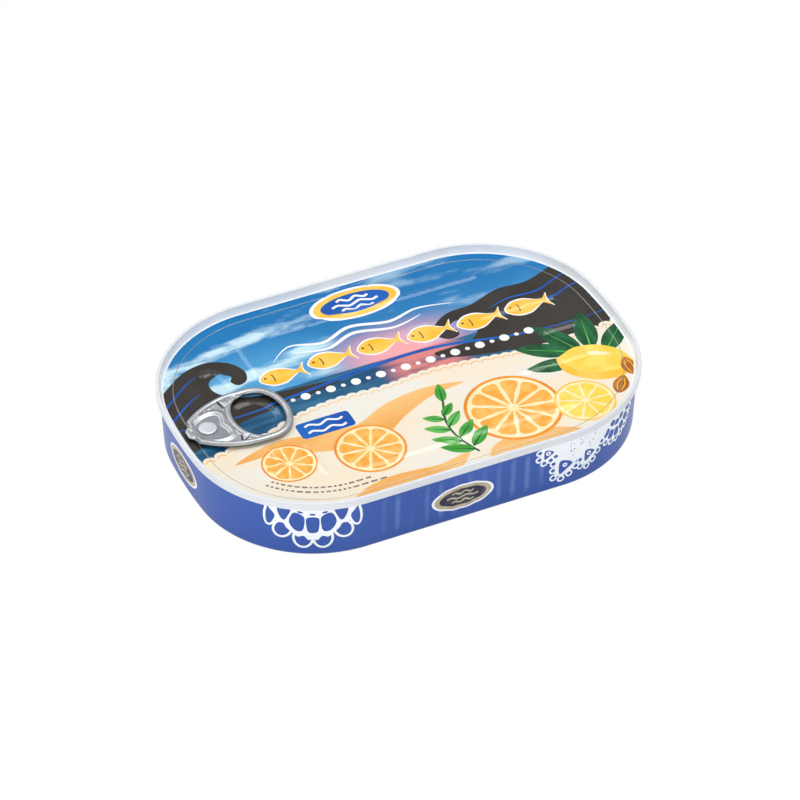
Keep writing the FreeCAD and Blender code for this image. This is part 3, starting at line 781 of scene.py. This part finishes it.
def fruit():
    """Slices of orange across the front, and lemons, dark leaves and almonds at the right."""
    shapes = round_slice((-21.5, -26.6), 10.6, "rind", "orange", 10, 0.2)
    shapes += round_slice((-45.5, -22.8), 8.2, "rind", "orange", 9, 0.5)
    shapes += round_slice((24, -27.5), 14.6, "rind", "orange", 11, 0.1)
    shapes += bay_sprig()
    for base, tip, width in (
        ((52, -12), (36, -3.6), 6.6), ((54, -13), (46, 3.6), 7), ((57, -13), (61.5, 4.6), 7),
        ((50, -16), (35, -14), 6), ((60, -16), (72, -4), 6.4),
    ):
        shapes += leaf(base, tip, width, "leaf_dark", "leaf")
    shapes += lemon((55.5, -19), 10.6, 8.2, -0.5)
    shapes += round_slice((44.5, -33.5), 9.2, "gold", "yellow", 9, 0.3)
    for centre, tilt in (((57.5, -31.2), 0.9), ((52.6, -42), 0.3), ((63.6, -24.6), 1.5)):
        shapes += almond(centre, 8.4, tilt)
    return shapes


def fish(centre, length, edge):
    """A plain fish seen from the side: a body that narrows to a forked tail, with a white edge."""
    body = both_sides([(-0.5, 0), (-0.3, 0.2), (-0.02, 0.22), (0.22, 0.1), (0.34, 0.05), (0.5, 0.2),
                       (0.44, 0)])
    grow = 1 + 2 * edge / length
    edged = [(u * grow, v * grow * 1.12) for u, v in body]
    gill, eye = placed([(-0.44, 0), (-0.38, 0.04)], centre, length)
    return [
        (curve(placed(edged, centre, length), 0.7), "white"),
        (curve(placed(body, centre, length), 0.7), "gold"),
        (ribbon(arc_between(gill, (0.24 * length, 0.3 * length), -0.4, 0.4, 6), 0.35), "night"),
        (ellipse(eye, 0.42, 0.3), "night"),
    ]


def ornaments():
    """What stands in the places of the lettering: gold fish, white dots and flowing lines."""
    shapes = []
    for k in range(6):
        shapes += fish((-31 + 16 * k, 14.6 + 1.1 * sin(1.1 * k)), 14.4, 0.45)
    for k in range(20):
        shapes.append((ellipse((-33 + 4.05 * k, 2.8), 1.5 if k % 2 else 0.75, 0.5), "white"))
    line = [(-31, 21.5), (-24, 26), (-14, 23.5), (-4, 27), (8, 24.4), (18, 26.6), (29, 24.6)]
    for points, drop in ((line, 0), (line[1:-1], 3.2)):
        shapes.append((stroke([(x, y - drop) for x, y in points], swelling(0.15, 1.1)), "white"))
    return shapes


def ripple(centre, half, swing):
    """A wavy line to both sides of a centre, with two waves."""
    return [(centre[0] + half * (k / 4 - 1), centre[1] + swing * sin(k * pi / 2)) for k in range(9)]


def medallion(centre, scale, inks):
    """A plain oval medallion: a rim, a band, a field and three waves."""
    shapes = []
    for grow, shade in zip((1, 0.92, 0.76), inks):
        oval = ellipse(centre, (15 * scale * grow, 7.2 * scale * grow ** 1.6), 0.7 * scale + 0.2)
        shapes.append((oval, shade))
    for level, reach in ((-2.4, 5.2), (0, 7.6), (2.4, 5.2)):
        wave = ripple((centre[0], centre[1] + scale * level), scale * reach, scale * 0.7)
        shapes.append((stroke(wave, 0.9 * scale, 0.6 * scale + 0.1), inks[3]))
    return shapes


def tag():
    """A plain blue tag with two white wavy lines."""
    left, right, low, high, cut = -37.4, -20.6, -15, -8, 0.7
    outline = [(left + cut, high), (left, high - cut), (left, low + cut), (left + cut, low),
               (right - cut, low), (right, low + cut), (right, high - cut), (right - cut, high)]
    waves = [(stroke(ripple((-29, level), 6, 0.6), 0.8, 0.5), "white") for level in (high - 2, low + 2)]
    return [(curve(outline, 1), "blue")] + waves


def rim_dashes():
    """Two broken lines that follow the front rim, where small print would run."""
    shapes = []
    drift = random.Random(4)
    for inset, run, last in ((8.2, 36, 78), (10.2, 37, 76)):
        while run < last:
            length = drift.uniform(0.8, 2.4)
            shapes.append((ribbon([on_outline(run + length * k / 2, inset) for k in range(3)], 0.7), "grey"))
            run += length + 0.8
    return shapes


def lid_shapes():
    crest = medallion((2.5, 37), 0.98, ("white", "gold", "blue", "white"))
    return shore() + sauce_swirls() + fruit() + tag() + crest + ornaments() + rim_dashes()


# --- The lid ---

def seam_profile():
    """The double seam's section from its skirt over the top and down the chuck wall: (inset, z)."""
    skirt, crown, lip, foot = 0.3, 0.45, 0.42, 0.5
    waist = 0.06
    inner = SEAM_THICKNESS - lip
    rows = [(WALL_INSET, SHEET_UNDERSIDE), (WALL_INSET, PANEL)]
    rows += arc_between((skirt, PANEL + skirt), skirt, 1.5 * pi, pi, 4)
    rows += [(waist, PANEL + 0.75), (waist, TOP - 0.75)]
    rows += arc_between((crown, TOP - crown), crown, pi, pi / 2, 6)
    rows += arc_between((inner, TOP - lip), lip, pi / 2, 0, 6)
    rows += [(PANEL_INSET - 0.06, PANEL + foot)]
    return rows + arc_between((PANEL_INSET + foot, PANEL + foot), foot, pi, 1.5 * pi, 4)[1:]


def ring(runs, inset, z):
    """One level ring of points round the tin."""
    return [on_outline(run, inset) + (z,) for run in runs]


def add_inner_face(builder, runs):
    """The hidden face where the lid lies on what it closes, sunk under the well."""
    points = [(WELL_X, 0)]
    for away in (WELL_FLOOR_RADIUS, 6.8, 7.6, 8.4, WELL_RADIUS + 0.4, 12):
        points += ellipse((WELL_X, 0), away, 2)
    places, faces, _ = cut_print([on_outline(run, WALL_INSET) for run in runs], [], points)
    vertices = []
    for x, y in places:
        from_rim = WELL_RADIUS + 0.4 - hypot(x - WELL_X, y)
        sunk = smooth(from_rim / (WELL_RADIUS - WELL_FLOOR_RADIUS))
        vertices.append((x, y, SHEET_UNDERSIDE - WELL_DEPTH * sunk))
    builder.add(vertices, faces, BASE_METAL)


def score_shapes(runs):
    """A grey line painted along the score groove as its shade and highlight, in two halves of a ring."""
    closed = runs + runs[:1]
    outer, inner = ([on_outline(run, SCORE_INSET + inset) for run in closed] for inset in (0.11, 0.29))
    half = len(runs) // 2
    return [(outer[part] + inner[part][::-1], SCORE_PAINTED_SHADE_AND_HIGHLIGHT) for part in (slice(half + 1), slice(half, None))]


def build_lid():
    builder = Builder()
    runs = steps_along(PERIMETER, 1.2)
    profile = seam_profile()
    rows = [ring(runs, inset, z) for inset, z in profile]
    crest = len(profile) - 6
    builder.add_rows(rows[:crest + 1], SEAM_WHITE)
    # The chuck wall takes the lighter lacquer, painted light against the shade inside the seam.
    builder.add_rows(rows[crest:], CHUCK_WHITE_PAINTED_LIGHT)
    rim = profile[-1][0]
    clear = rim + 0.4
    shapes = [(laid_on_relief(outline), INKS[name]) for outline, name in lid_shapes()] + score_shapes(runs)
    points = [point for point in relief_points() if inset_of(*point) > clear]
    points += grid_points((-HALF_LENGTH, -HALF_WIDTH), (HALF_LENGTH, HALF_WIDTH), 3,
                          lambda x, y: inset_of(x, y) > clear + 1)
    places, faces, inks = cut_print([on_outline(run, rim) for run in runs], shapes, points)
    vertices = [(x, y, PANEL + panel_height(x, y)) for x, y in places]
    builder.add(vertices, faces, [shade or INKS["sky"] for shade in inks])
    add_inner_face(builder, runs)
    piece = builder.build("lid_print")
    panel_normals(piece.data)
    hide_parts("lid_end")


# --- The wall and the base ---

FRONT_MIDDLE = OUTLINE[0][0] + OUTLINE[1][0] + OUTLINE[2][0] / 2
SIDE_MIDDLES = (FRONT_MIDDLE, FRONT_MIDDLE + PERIMETER / 2)


def wall_inset(run, z):
    """How far the wall lies inside the seam's outline: its lean and the flutes of the long sides."""
    inset = BASE_INSET + (WALL_INSET - BASE_INSET) * z / SHEET_UNDERSIDE
    for middle in SIDE_MIDDLES:
        across = abs((run - middle + PERIMETER / 2) % PERIMETER - PERIMETER / 2)
        if across < FLUTE_REACH:
            wave = 0.5 - 0.5 * cos(2 * pi * (run - middle) / FLUTE_PITCH)
            ends = smooth((z - 2.6) / 2.2) * smooth((SHEET_UNDERSIDE - 0.6 - z) / 2.2)
            inset += FLUTE_DEPTH * wave * ends * smooth((FLUTE_REACH - across) / FLUTE_PITCH)
    return inset


def dots(points, radii, step, shade, tilt=0):
    """Like ellipses in one ink at every point."""
    return [(ellipse(point, radii, step, tilt), shade) for point in points]


def rosette_lace(middle):
    """Half a crocheted rosette hung from the seam: five windows over a scalloped band and six loops."""
    shapes = []
    for away, low, radii, tilt in ((3, 7.4, (3.3, 4), 0), (9.2, 10.4, (3.1, 3.8), 0.5),
                                   (12.6, 16.2, (2.3, 5.6), 0.2)):
        for side in (-1, 1):
            centre = (middle + side * away, low)
            shapes += dots([centre], radii, 0.5, "white", side * tilt)
            shapes += dots([centre], (radii[0] - 0.8, radii[1] - 0.8), 0.4, "blue", side * tilt)
    band = [(0, 7), (1.4, 6.6), (2.8, 8.2), (4.6, 7.8), (6.4, 9.4), (8, 11), (8.9, 12.6), (10.9, 12.8),
            (11.5, 15.4), (11.6, 19.4)]
    band += [(-u, z) for u, z in reversed(band[1:])]
    pane = [(-1.7, 15.2), (1.7, 15.2), (1.9, 11.8), (1.2, 9.6), (-1.2, 9.6), (-1.9, 11.8)]
    petal = [(2.7, 15.8), (5.6, 17.1), (7.1, 13.6), (5.5, 10.4), (3.3, 10.1), (2.5, 12.6)]
    wedge = [(6.6, 18.6), (10.4, 18.6), (10.1, 15.6), (8.7, 13.8), (7.5, 15.4)]
    for points, side in ((band, 1), (pane, 1), (petal, 1), (petal, -1), (wedge, 1), (wedge, -1)):
        outline = curve([(middle + side * u, z) for u, z in points], 0.5)
        shapes.append((outline, "white" if points is band else "blue"))
    for away, low in ((-3.7, 17.4), (0, 16.6), (3.7, 17.4)):
        shapes += dots([(middle + away, low)], (0.95, 0.4), 0.3, "blue", 0.06 * away)
    return shapes


def lobe(corner, size, path, back):
    """A lace lobe with an upright side, edged with open loops, and a solid triangle round a white ring."""
    x, low = corner
    inner = [(px + 0.12 * (x + 0.4 * size - px), pz + 0.12 * (back - pz)) for px, pz in path]
    cloth = [(inner[0][0], back)] + inner + [(inner[-1][0], back)]
    triangle = placed([(0.1, 0.72), (0.34, 0.72), (0.64, 0.5), (0.36, 0.26), (0.12, 0.1), (0.06, 0.36)],
                      corner, size)
    eye = [(x + 0.31 * size, low + 0.5 * size)]
    return (dots(path, 1.25, 0.4, "white") + [(curve(cloth, 0.5), "white")] + dots(path, 0.68, 0.3, "blue")
            + [(curve(triangle, 0.4), "blue")] + dots(eye, 0.8, 0.3, "white") + dots(eye, 0.3, 0.2, "blue"))


def fan_lace(centre):
    """Half a round of crocheted tiers hung from the seam, with open loops outside."""
    down = -pi / 2
    loops = [ray(centre, down + 0.29 * k, 9.7) for k in range(-3, 6)]
    shapes = dots([centre], (9.6, 9.3), 0.5, "white") + dots(loops, 1.3, 0.4, "white")
    shapes += dots(loops, 0.68, 0.3, "blue")
    for reach, turn, corners in (
        (3, 0.42, [(-0.17, 5.8), (0.17, 5.8), (0.15, 8.2), (0, 8.7), (-0.15, 8.2)]),
        (1, 0.75, [(-0.28, 2.6), (0.28, 2.6), (0.3, 4.2), (0, 4.5), (-0.3, 4.2)]),
    ):
        for k in range(-reach, reach + 1):
            window = [ray(centre, down + turn * k + off, away) for off, away in corners]
            shapes.append((curve(window, 0.4), "blue"))
    return shapes


def pointed_lace():
    """Scalloped lace at the front right corner: a close band, leaning lobes and a fan."""
    band = [(130.4, 19.6), (130.6, 13.4), (131.4, 11), (138.6, 9.6), (141, 10.4), (146, 12), (149, 14),
            (150, 19.6)]
    shapes = fan_lace((154.6, 18.4)) + [(curve(band, 0.6), "white")]
    for corner, size, path, back in (
        ((126.3, 12.9), 5.4, [(125.2, 16.7), (125.1, 14.1), (126.7, 12.2), (128.8, 12.7),
                              (130.4, 13.6)], 19.6),
        ((131.1, 5.2), 8, [(129.8, 10.8), (129.7, 8.2), (129.9, 5.3), (132.4, 4.2), (135.1, 5.3),
                           (137.4, 7.3)], 13),
        ((140.1, 6.9), 6.6, [(138.9, 9), (139.1, 6.4), (141.5, 5.5), (143.9, 6.9), (145.8, 9.3),
                             (147.4, 12)], 13),
    ):
        shapes += lobe(corner, size, path, back)
    drift = random.Random(11)
    for _ in range(24):
        hole = (drift.uniform(134.5, 144.5), drift.uniform(12, 18))
        shapes += dots([hole], (drift.uniform(0.12, 0.3), drift.uniform(0.12, 0.3)), 0.25, "blue")
    return shapes


def wall_shapes():
    """The wall's print in (run, z): lace at two corners and at the far ones, and plain medallions."""
    far = PERIMETER / 2
    shapes = rosette_lace(53.6) + pointed_lace()
    shapes += [([(x + far, z) for x, z in outline], shade) for outline, shade in shapes]
    for middle in (0, FRONT_MIDDLE - 1.5, far, FRONT_MIDDLE + far - 1.5):
        shapes += medallion((middle, 9.2), 0.66, ("white", "sand", "dark", "sand"))
    return shapes


def build_wall():
    builder = Builder()
    runs = steps_along(PERIMETER, 1.15)
    low, high = BASE_ROUND, SHEET_UNDERSIDE
    levels = [low + (high - low) * k / 12 for k in range(13)]
    # The wall is cut open at a bare stretch near the -X end, so no print crosses the join.
    start = 14
    end = start + PERIMETER
    bottom = [(start + run, low) for run in runs] + [(end, low)]
    top = [(x, high) for x, _ in reversed(bottom)]
    border = bottom + [(end, z) for z in levels[1:-1]] + top + [(start, z) for z in levels[-2:0:-1]]
    tones = {"white": LACE_WHITE, "blue": WALL_BLUE, "sand": MEDAL_SAND, "dark": MEDAL_DARK}

    def fitted(outline):
        """The outline between the wall's top and bottom, moved to lie past the join."""
        shift = PERIMETER if min(x for x, _ in outline) < start else 0
        return [(x + shift, min(high - 0.02, max(low + 0.02, z))) for x, z in outline]

    shapes = [(fitted(outline), tones[name]) for outline, name in wall_shapes()]
    points = [(start + run, z) for run in runs[1:] for z in levels[1:-1]]
    steps = round(20 * FLUTE_REACH / FLUTE_PITCH) + 1
    for middle in SIDE_MIDDLES:
        points += [(middle - FLUTE_REACH + FLUTE_PITCH * k / 10, z + 0.7) for k in range(steps)
                   for z in levels[:-1]]
    places, faces, inks = cut_print(border, shapes, points)
    vertices = [on_outline(run, wall_inset(run % PERIMETER, z)) + (z,) for run, z in places]
    builder.add(vertices, faces, [shade or WALL_BLUE for shade in inks])

    around = [start + run for run in runs]
    foot = wall_inset(0, low) + BASE_ROUND
    profile = arc_between((foot, BASE_ROUND), BASE_ROUND, pi, 1.5 * pi, 8)
    profile += [(RECESS_INSET - 0.2, 0), (RECESS_INSET, 0.12), (RECESS_INSET + 0.5, RECESS_DEPTH - 0.15),
                (RECESS_INSET + 0.8, RECESS_DEPTH)]
    rows = [ring(around, inset, z) for inset, z in profile]
    # The print ends part of the way round the foot.
    builder.add_rows(rows[:4], WALL_BLUE)
    builder.add_rows(rows[3:], BASE_METAL)
    builder.add(rows[-1], [list(range(len(around)))], BASE_METAL)
    add_inner_face(builder, around)
    piece = builder.build("wall_print")
    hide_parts("can_body")


# --- The ring pull ---

TAB_LOW = PANEL + 0.4
TAB_THICKNESS = 1.6
TAB_MIDDLE = TAB_LOW + TAB_THICKNESS / 2
WEB_TOP = TAB_LOW + TAB_THICKNESS - 0.8
NOSE_X = 3.1 - HALF_LENGTH
TAB_HALF, TAB_CORNER, TAB_BOW, RING_BAND, BAR_RUN = 12, 9, 16, 2.2, 15.15
RIM_WIDTH = 1.9
RIVET_RUN = 6.6


def tab_outlines():
    """The tab's outline and its finger hole, from the nose along +X."""
    corner_y = TAB_HALF - TAB_CORNER
    reach = sqrt((TAB_BOW - TAB_CORNER) ** 2 - corner_y ** 2)
    hole_bow = TAB_BOW - RING_BAND
    hole_corner = TAB_CORNER - RING_BAND
    bow_x = BAR_RUN + hole_bow - 2 * reach
    turn = atan2(corner_y, reach)
    flank_x, shoulder_x, shoulder_y = 20, 1.7, 5
    rise = TAB_HALF - shoulder_y
    flank = ((flank_x - shoulder_x) ** 2 + rise ** 2) / (2 * rise)
    spread = asin((flank_x - shoulder_x) / flank)
    corner = (bow_x + reach, corner_y)
    upper = arc_between((bow_x, 0), TAB_BOW, 0, turn, 14)[:-1]
    upper += arc_between(corner, TAB_CORNER, turn, pi / 2, 20)
    upper += arc_between((flank_x, TAB_HALF - flank), flank, pi / 2, pi / 2 + spread, 40)
    upper += [(1.75, 4.3), (1.35, 2.9), (0.5, 2.1), (0.05, 1.4)]
    outline = upper + [(x, -y) for x, y in reversed(upper[1:])]
    hole = arc_between((bow_x, 0), hole_bow, 0, turn, 12)[:-1]
    hole += arc_between(corner, hole_corner, turn, pi - turn, 36)[:-1]
    hole += arc_between((bow_x + 2 * reach, 0), hole_bow, pi - turn, pi, 12)
    return outline, both_sides(hole)


def bell():
    """The sunk tongue round the rivet: narrow at the nose, with two lobes towards the ring."""
    upper = [(2.9, 0), (3.6, 2.4), (6.2, 4.2), (9.2, 5), (11.3, 4.3), (11.2, 2.2), (10.5, 0)]
    return curve(both_sides(upper), 0.4)


TAB_OUTLINE, TAB_HOLE = tab_outlines()
TONGUE = bell()


def holds(outline, x, y):
    """Whether a closed outline holds a point."""
    inside = False
    for (ax, ay), (bx, by) in sides(outline):
        if (ay > y) != (by > y) and x < (bx - ax) * (y - ay) / (by - ay) + ax:
            inside = not inside
    return inside


def bump_of(away, half):
    """1 in the middle of a raised bead, 0 at its feet."""
    return 0.5 * (1 + cos(pi * min(1, abs(away) / half)))


def tube(away, width):
    """The section of a rolled rim: 0 at both feet, 1 on top."""
    share = min(1, max(0, away / width))
    return sqrt(max(0, 1 - (2 * share - 1) ** 2))


SLIT_X, SLIT_Y = 14.2, 8.1


def slit_marks(side):
    """One small cut in the web and the facet pressed up beside it."""
    far, near = side * (SLIT_Y + 1.5), side * (SLIT_Y - 1.5)
    cut = ribbon([(SLIT_X - 0.7, far), (SLIT_X - 0.2, side * SLIT_Y), (SLIT_X + 0.2, near)], 0.6)
    facet = [(SLIT_X - 0.3, far), (SLIT_X + 0.6, near), (SLIT_X + 3, side * (SLIT_Y - 0.5))]
    return cut, facet


def tab_heights(x, y):
    """The top and the underside of the tab at a point."""
    edge = distance_to_edge(x, y, TAB_OUTLINE)
    hole = distance_to_edge(x, y, TAB_HOLE)
    if min(edge, hole) < 1e-3:
        return TAB_MIDDLE, TAB_MIDDLE
    tongue = distance_to_edge(x, y, TONGUE)
    web = WEB_TOP
    if holds(TONGUE, x, y):
        web -= 0.4 * smooth(tongue / 0.5)
    else:
        web += 0.5 * bump_of(tongue - 1.35, 1.35) * smooth((x - 0.8) / 2)
    for side in (-1, 1):
        if holds(slit_marks(side)[1], x, y):
            web += 0.5 * (1 - (x - SLIT_X) / 3)
        elif hypot((x - SLIT_X) * 1.6, abs(y) - SLIT_Y) < 1.2 and y * side > 0:
            web -= 0.15
    ring_share = smooth(3.4 - edge - hole)
    rim_width = RIM_WIDTH + 0.35 * ring_share
    drop = 0.55 * smooth((2.4 - x) / 0.8)
    half = TAB_THICKNESS / 2
    rim = TAB_MIDDLE + (half - drop) * tube(edge, rim_width)
    lip = TAB_MIDDLE + (half - 0.25) * tube(hole, RIM_WIDTH) * (1 - ring_share)
    top = max(rim, lip)
    if edge > rim_width / 2 and hole > RIM_WIDTH / 2 * (1 - ring_share):
        top = max(top, web - drop * 0.6)
    return top, TAB_MIDDLE - half * tube(min(edge, hole, 0.7), 1.4)


def offset_points(outline, away, step):
    """Points beside a closed outline, at a distance to its left."""
    points = []
    for start, end in sides(outline):
        aside = leftward(start, end)
        steps = max(1, round(dist(start, end) / step))
        for k in range(steps):
            x, y = between(start, end, (k + 0.5) / steps)
            points.append((x + away * aside[0], y + away * aside[1]))
    return points


def on_tab(x, y, margin):
    """Whether a point lies on the tab's sheet, at least a margin from its edges."""
    return (holds(TAB_OUTLINE, x, y) and not holds(TAB_HOLE, x, y)
            and min(distance_to_edge(x, y, TAB_OUTLINE), distance_to_edge(x, y, TAB_HOLE)) > margin)


def build_tab():
    points = []
    for outline, side in ((TAB_OUTLINE, 1), (TAB_HOLE, -1)):
        for away in (0.02, 0.08, 0.18, 0.32, 0.5, 0.7, 0.9, 1.1, 1.3, 1.5, 1.7, 1.85):
            beside = offset_points(outline, side * away, 0.5)
            points += [point for point in beside if on_tab(*point, 0.94 * away)]
    points += grid_points((0, -TAB_HALF), (BAR_RUN + 6, TAB_HALF), 0.4, lambda x, y: on_tab(x, y, 1.95))
    cuts, facets = zip(*[slit_marks(side) for side in (-1, 1)])
    # The sunk tongue takes the darker metal as painted shade.
    shapes = [(TAB_HOLE, "hole"), (TONGUE, TONGUE_METAL_PAINTED_SHADE)]
    # The facets take the lighter rivet metal as a painted highlight, on top of the light their raised tilt
    # catches; the cuts take the dark tab_shade metal as painted shade.
    shapes += [(facet, RIVET_AND_FACET_HIGHLIGHT_METAL) for facet in facets] + [(cut, TAB_SHADE) for cut in cuts]
    places, faces, inks = cut_print(TAB_OUTLINE, shapes, points)
    faces, inks = zip(*[(face, shade or TAB_METAL) for face, shade in zip(faces, inks) if shade != "hole"])
    heights = [tab_heights(x, y) for x, y in places]
    builder = Builder()
    builder.add([(NOSE_X + x, y, top) for (x, y), (top, _) in zip(places, heights)], faces, list(inks))
    builder.add([(NOSE_X + x, y, below) for (x, y), (_, below) in zip(places, heights)],
                [face[::-1] for face in faces], TAB_METAL)
    piece = builder.build("ring_pull")
    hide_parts("tab")


def build_rivet():
    head, neck, top = 2.8, 2.1, WEB_TOP + 0.5
    profile = [(neck, PANEL), (neck, top - 0.7), (head - 0.25, top - 0.7), (head, top - 0.45),
               (head, top - 0.28), (head - 0.08, top - 0.12), (head - 0.25, top - 0.04),
               (head - 0.5, top - 0.02), (head / 2, top), (0.4, top)]
    count = 64
    centre = (NOSE_X + RIVET_RUN, 0)
    rows = []
    for radius, z in profile:
        rows.append([ray(centre, 2 * pi * k / count, radius) + (z,) for k in range(count)])
    builder = Builder()
    builder.add_rows(rows, RIVET_AND_FACET_HIGHLIGHT_METAL)
    for row in (rows[0][::-1], rows[-1]):
        builder.add(row, [list(range(count))], RIVET_AND_FACET_HIGHLIGHT_METAL)
    piece = builder.build("rivet_head")
    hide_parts("rivet")


build_lid()
build_wall()
build_tab()
build_rivet()

# --- Camera, floor and light ---

AZIMUTH, ELEVATION = radians(-25.03), radians(39.75)
DISTANCE = 1.2606
AIM = Vector((0.00021, -0.0001, 0.00953))
BACK = Vector((sin(AZIMUTH) * cos(ELEVATION), -cos(AZIMUTH) * cos(ELEVATION), sin(ELEVATION)))
HORIZON_LEVEL, ZENITH_LEVEL = 0.4, 0.56
FLOOR_HALF = 3
# Each lamp's name, place in metres, size and power; all of them face the tin.
LAMPS = (
    ("overhead", (0.4, 0.2, 1.22), (0.42, 0.42), 6.2),
    ("back", (-0.19, 0.9, 0.91), (0.26, 0.26), 1.6),
    ("middle", (-0.16, 0.52, 1.13), (0.14, 0.5), 1.4),
    ("high", (0.06, 0.2, 1.26), (0.36, 0.14), 1),
    ("front", (-0.4, -1.3, 0.7), (0.9, 0.7), 5.5),
    ("rake", (-1.4, -0.3, 0.25), (0.3, 0.5), 4),
)


def aim(thing, place, heading):
    thing.location = place
    thing.rotation_mode = "QUATERNION"
    thing.rotation_quaternion = heading.to_track_quat("-Z", "Y")


def build_camera():
    data = bpy.data.cameras.new("camera")
    data.lens = 191.47
    data.sensor_width = 36
    data.clip_start, data.clip_end = 0.05, 20
    bpy.context.scene.camera = add_object("camera", data)
    aim(bpy.context.scene.camera, AIM + BACK * DISTANCE, -BACK)


def build_floor():
    mesh = bpy.data.meshes.new("floor")
    corners = [(x * FLOOR_HALF, y * FLOOR_HALF, 0) for x, y in ((-1, -1), (1, -1), (1, 1), (-1, 1))]
    mesh.from_pydata(corners, [], [(0, 1, 2, 3)])
    nodes = material_nodes("floor")
    nodes.show_white("ShaderNodeEmission", "Material Output")
    settings = {"Roughness": 0.9, "Specular IOR Level": 0.1}
    mesh.materials.append(nodes.finish((0.97, 0.97, 0.97, 1), **settings))
    add_object("floor", mesh)


def build_world():
    """A studio that is bright overhead and dimmer towards the horizon, seen as plain white."""
    world = bpy.data.worlds.new("studio")
    bpy.context.scene.world = world
    nodes = Nodes(world, "Background")
    inputs = {"Value": nodes.axes("Generated")["Z"], "To Min": HORIZON_LEVEL, "To Max": ZENITH_LEVEL}
    nodes.put(nodes.make("ShaderNodeMapRange", inputs).outputs["Result"], nodes.shader.inputs["Strength"])
    nodes.put((1, 1, 1, 1), nodes.shader.inputs["Color"])
    nodes.show_white("ShaderNodeBackground", "World Output")


def build_lamps():
    for name, place, size, power in LAMPS:
        data = bpy.data.lights.new(name, "AREA")
        data.shape = "RECTANGLE"
        data.size, data.size_y = size
        data.energy = power
        aim(add_object(name, data), place, -Vector(place))


build_camera()
build_floor()
build_world()
build_lamps()
bpy.context.scene.view_settings.view_transform = "Standard"
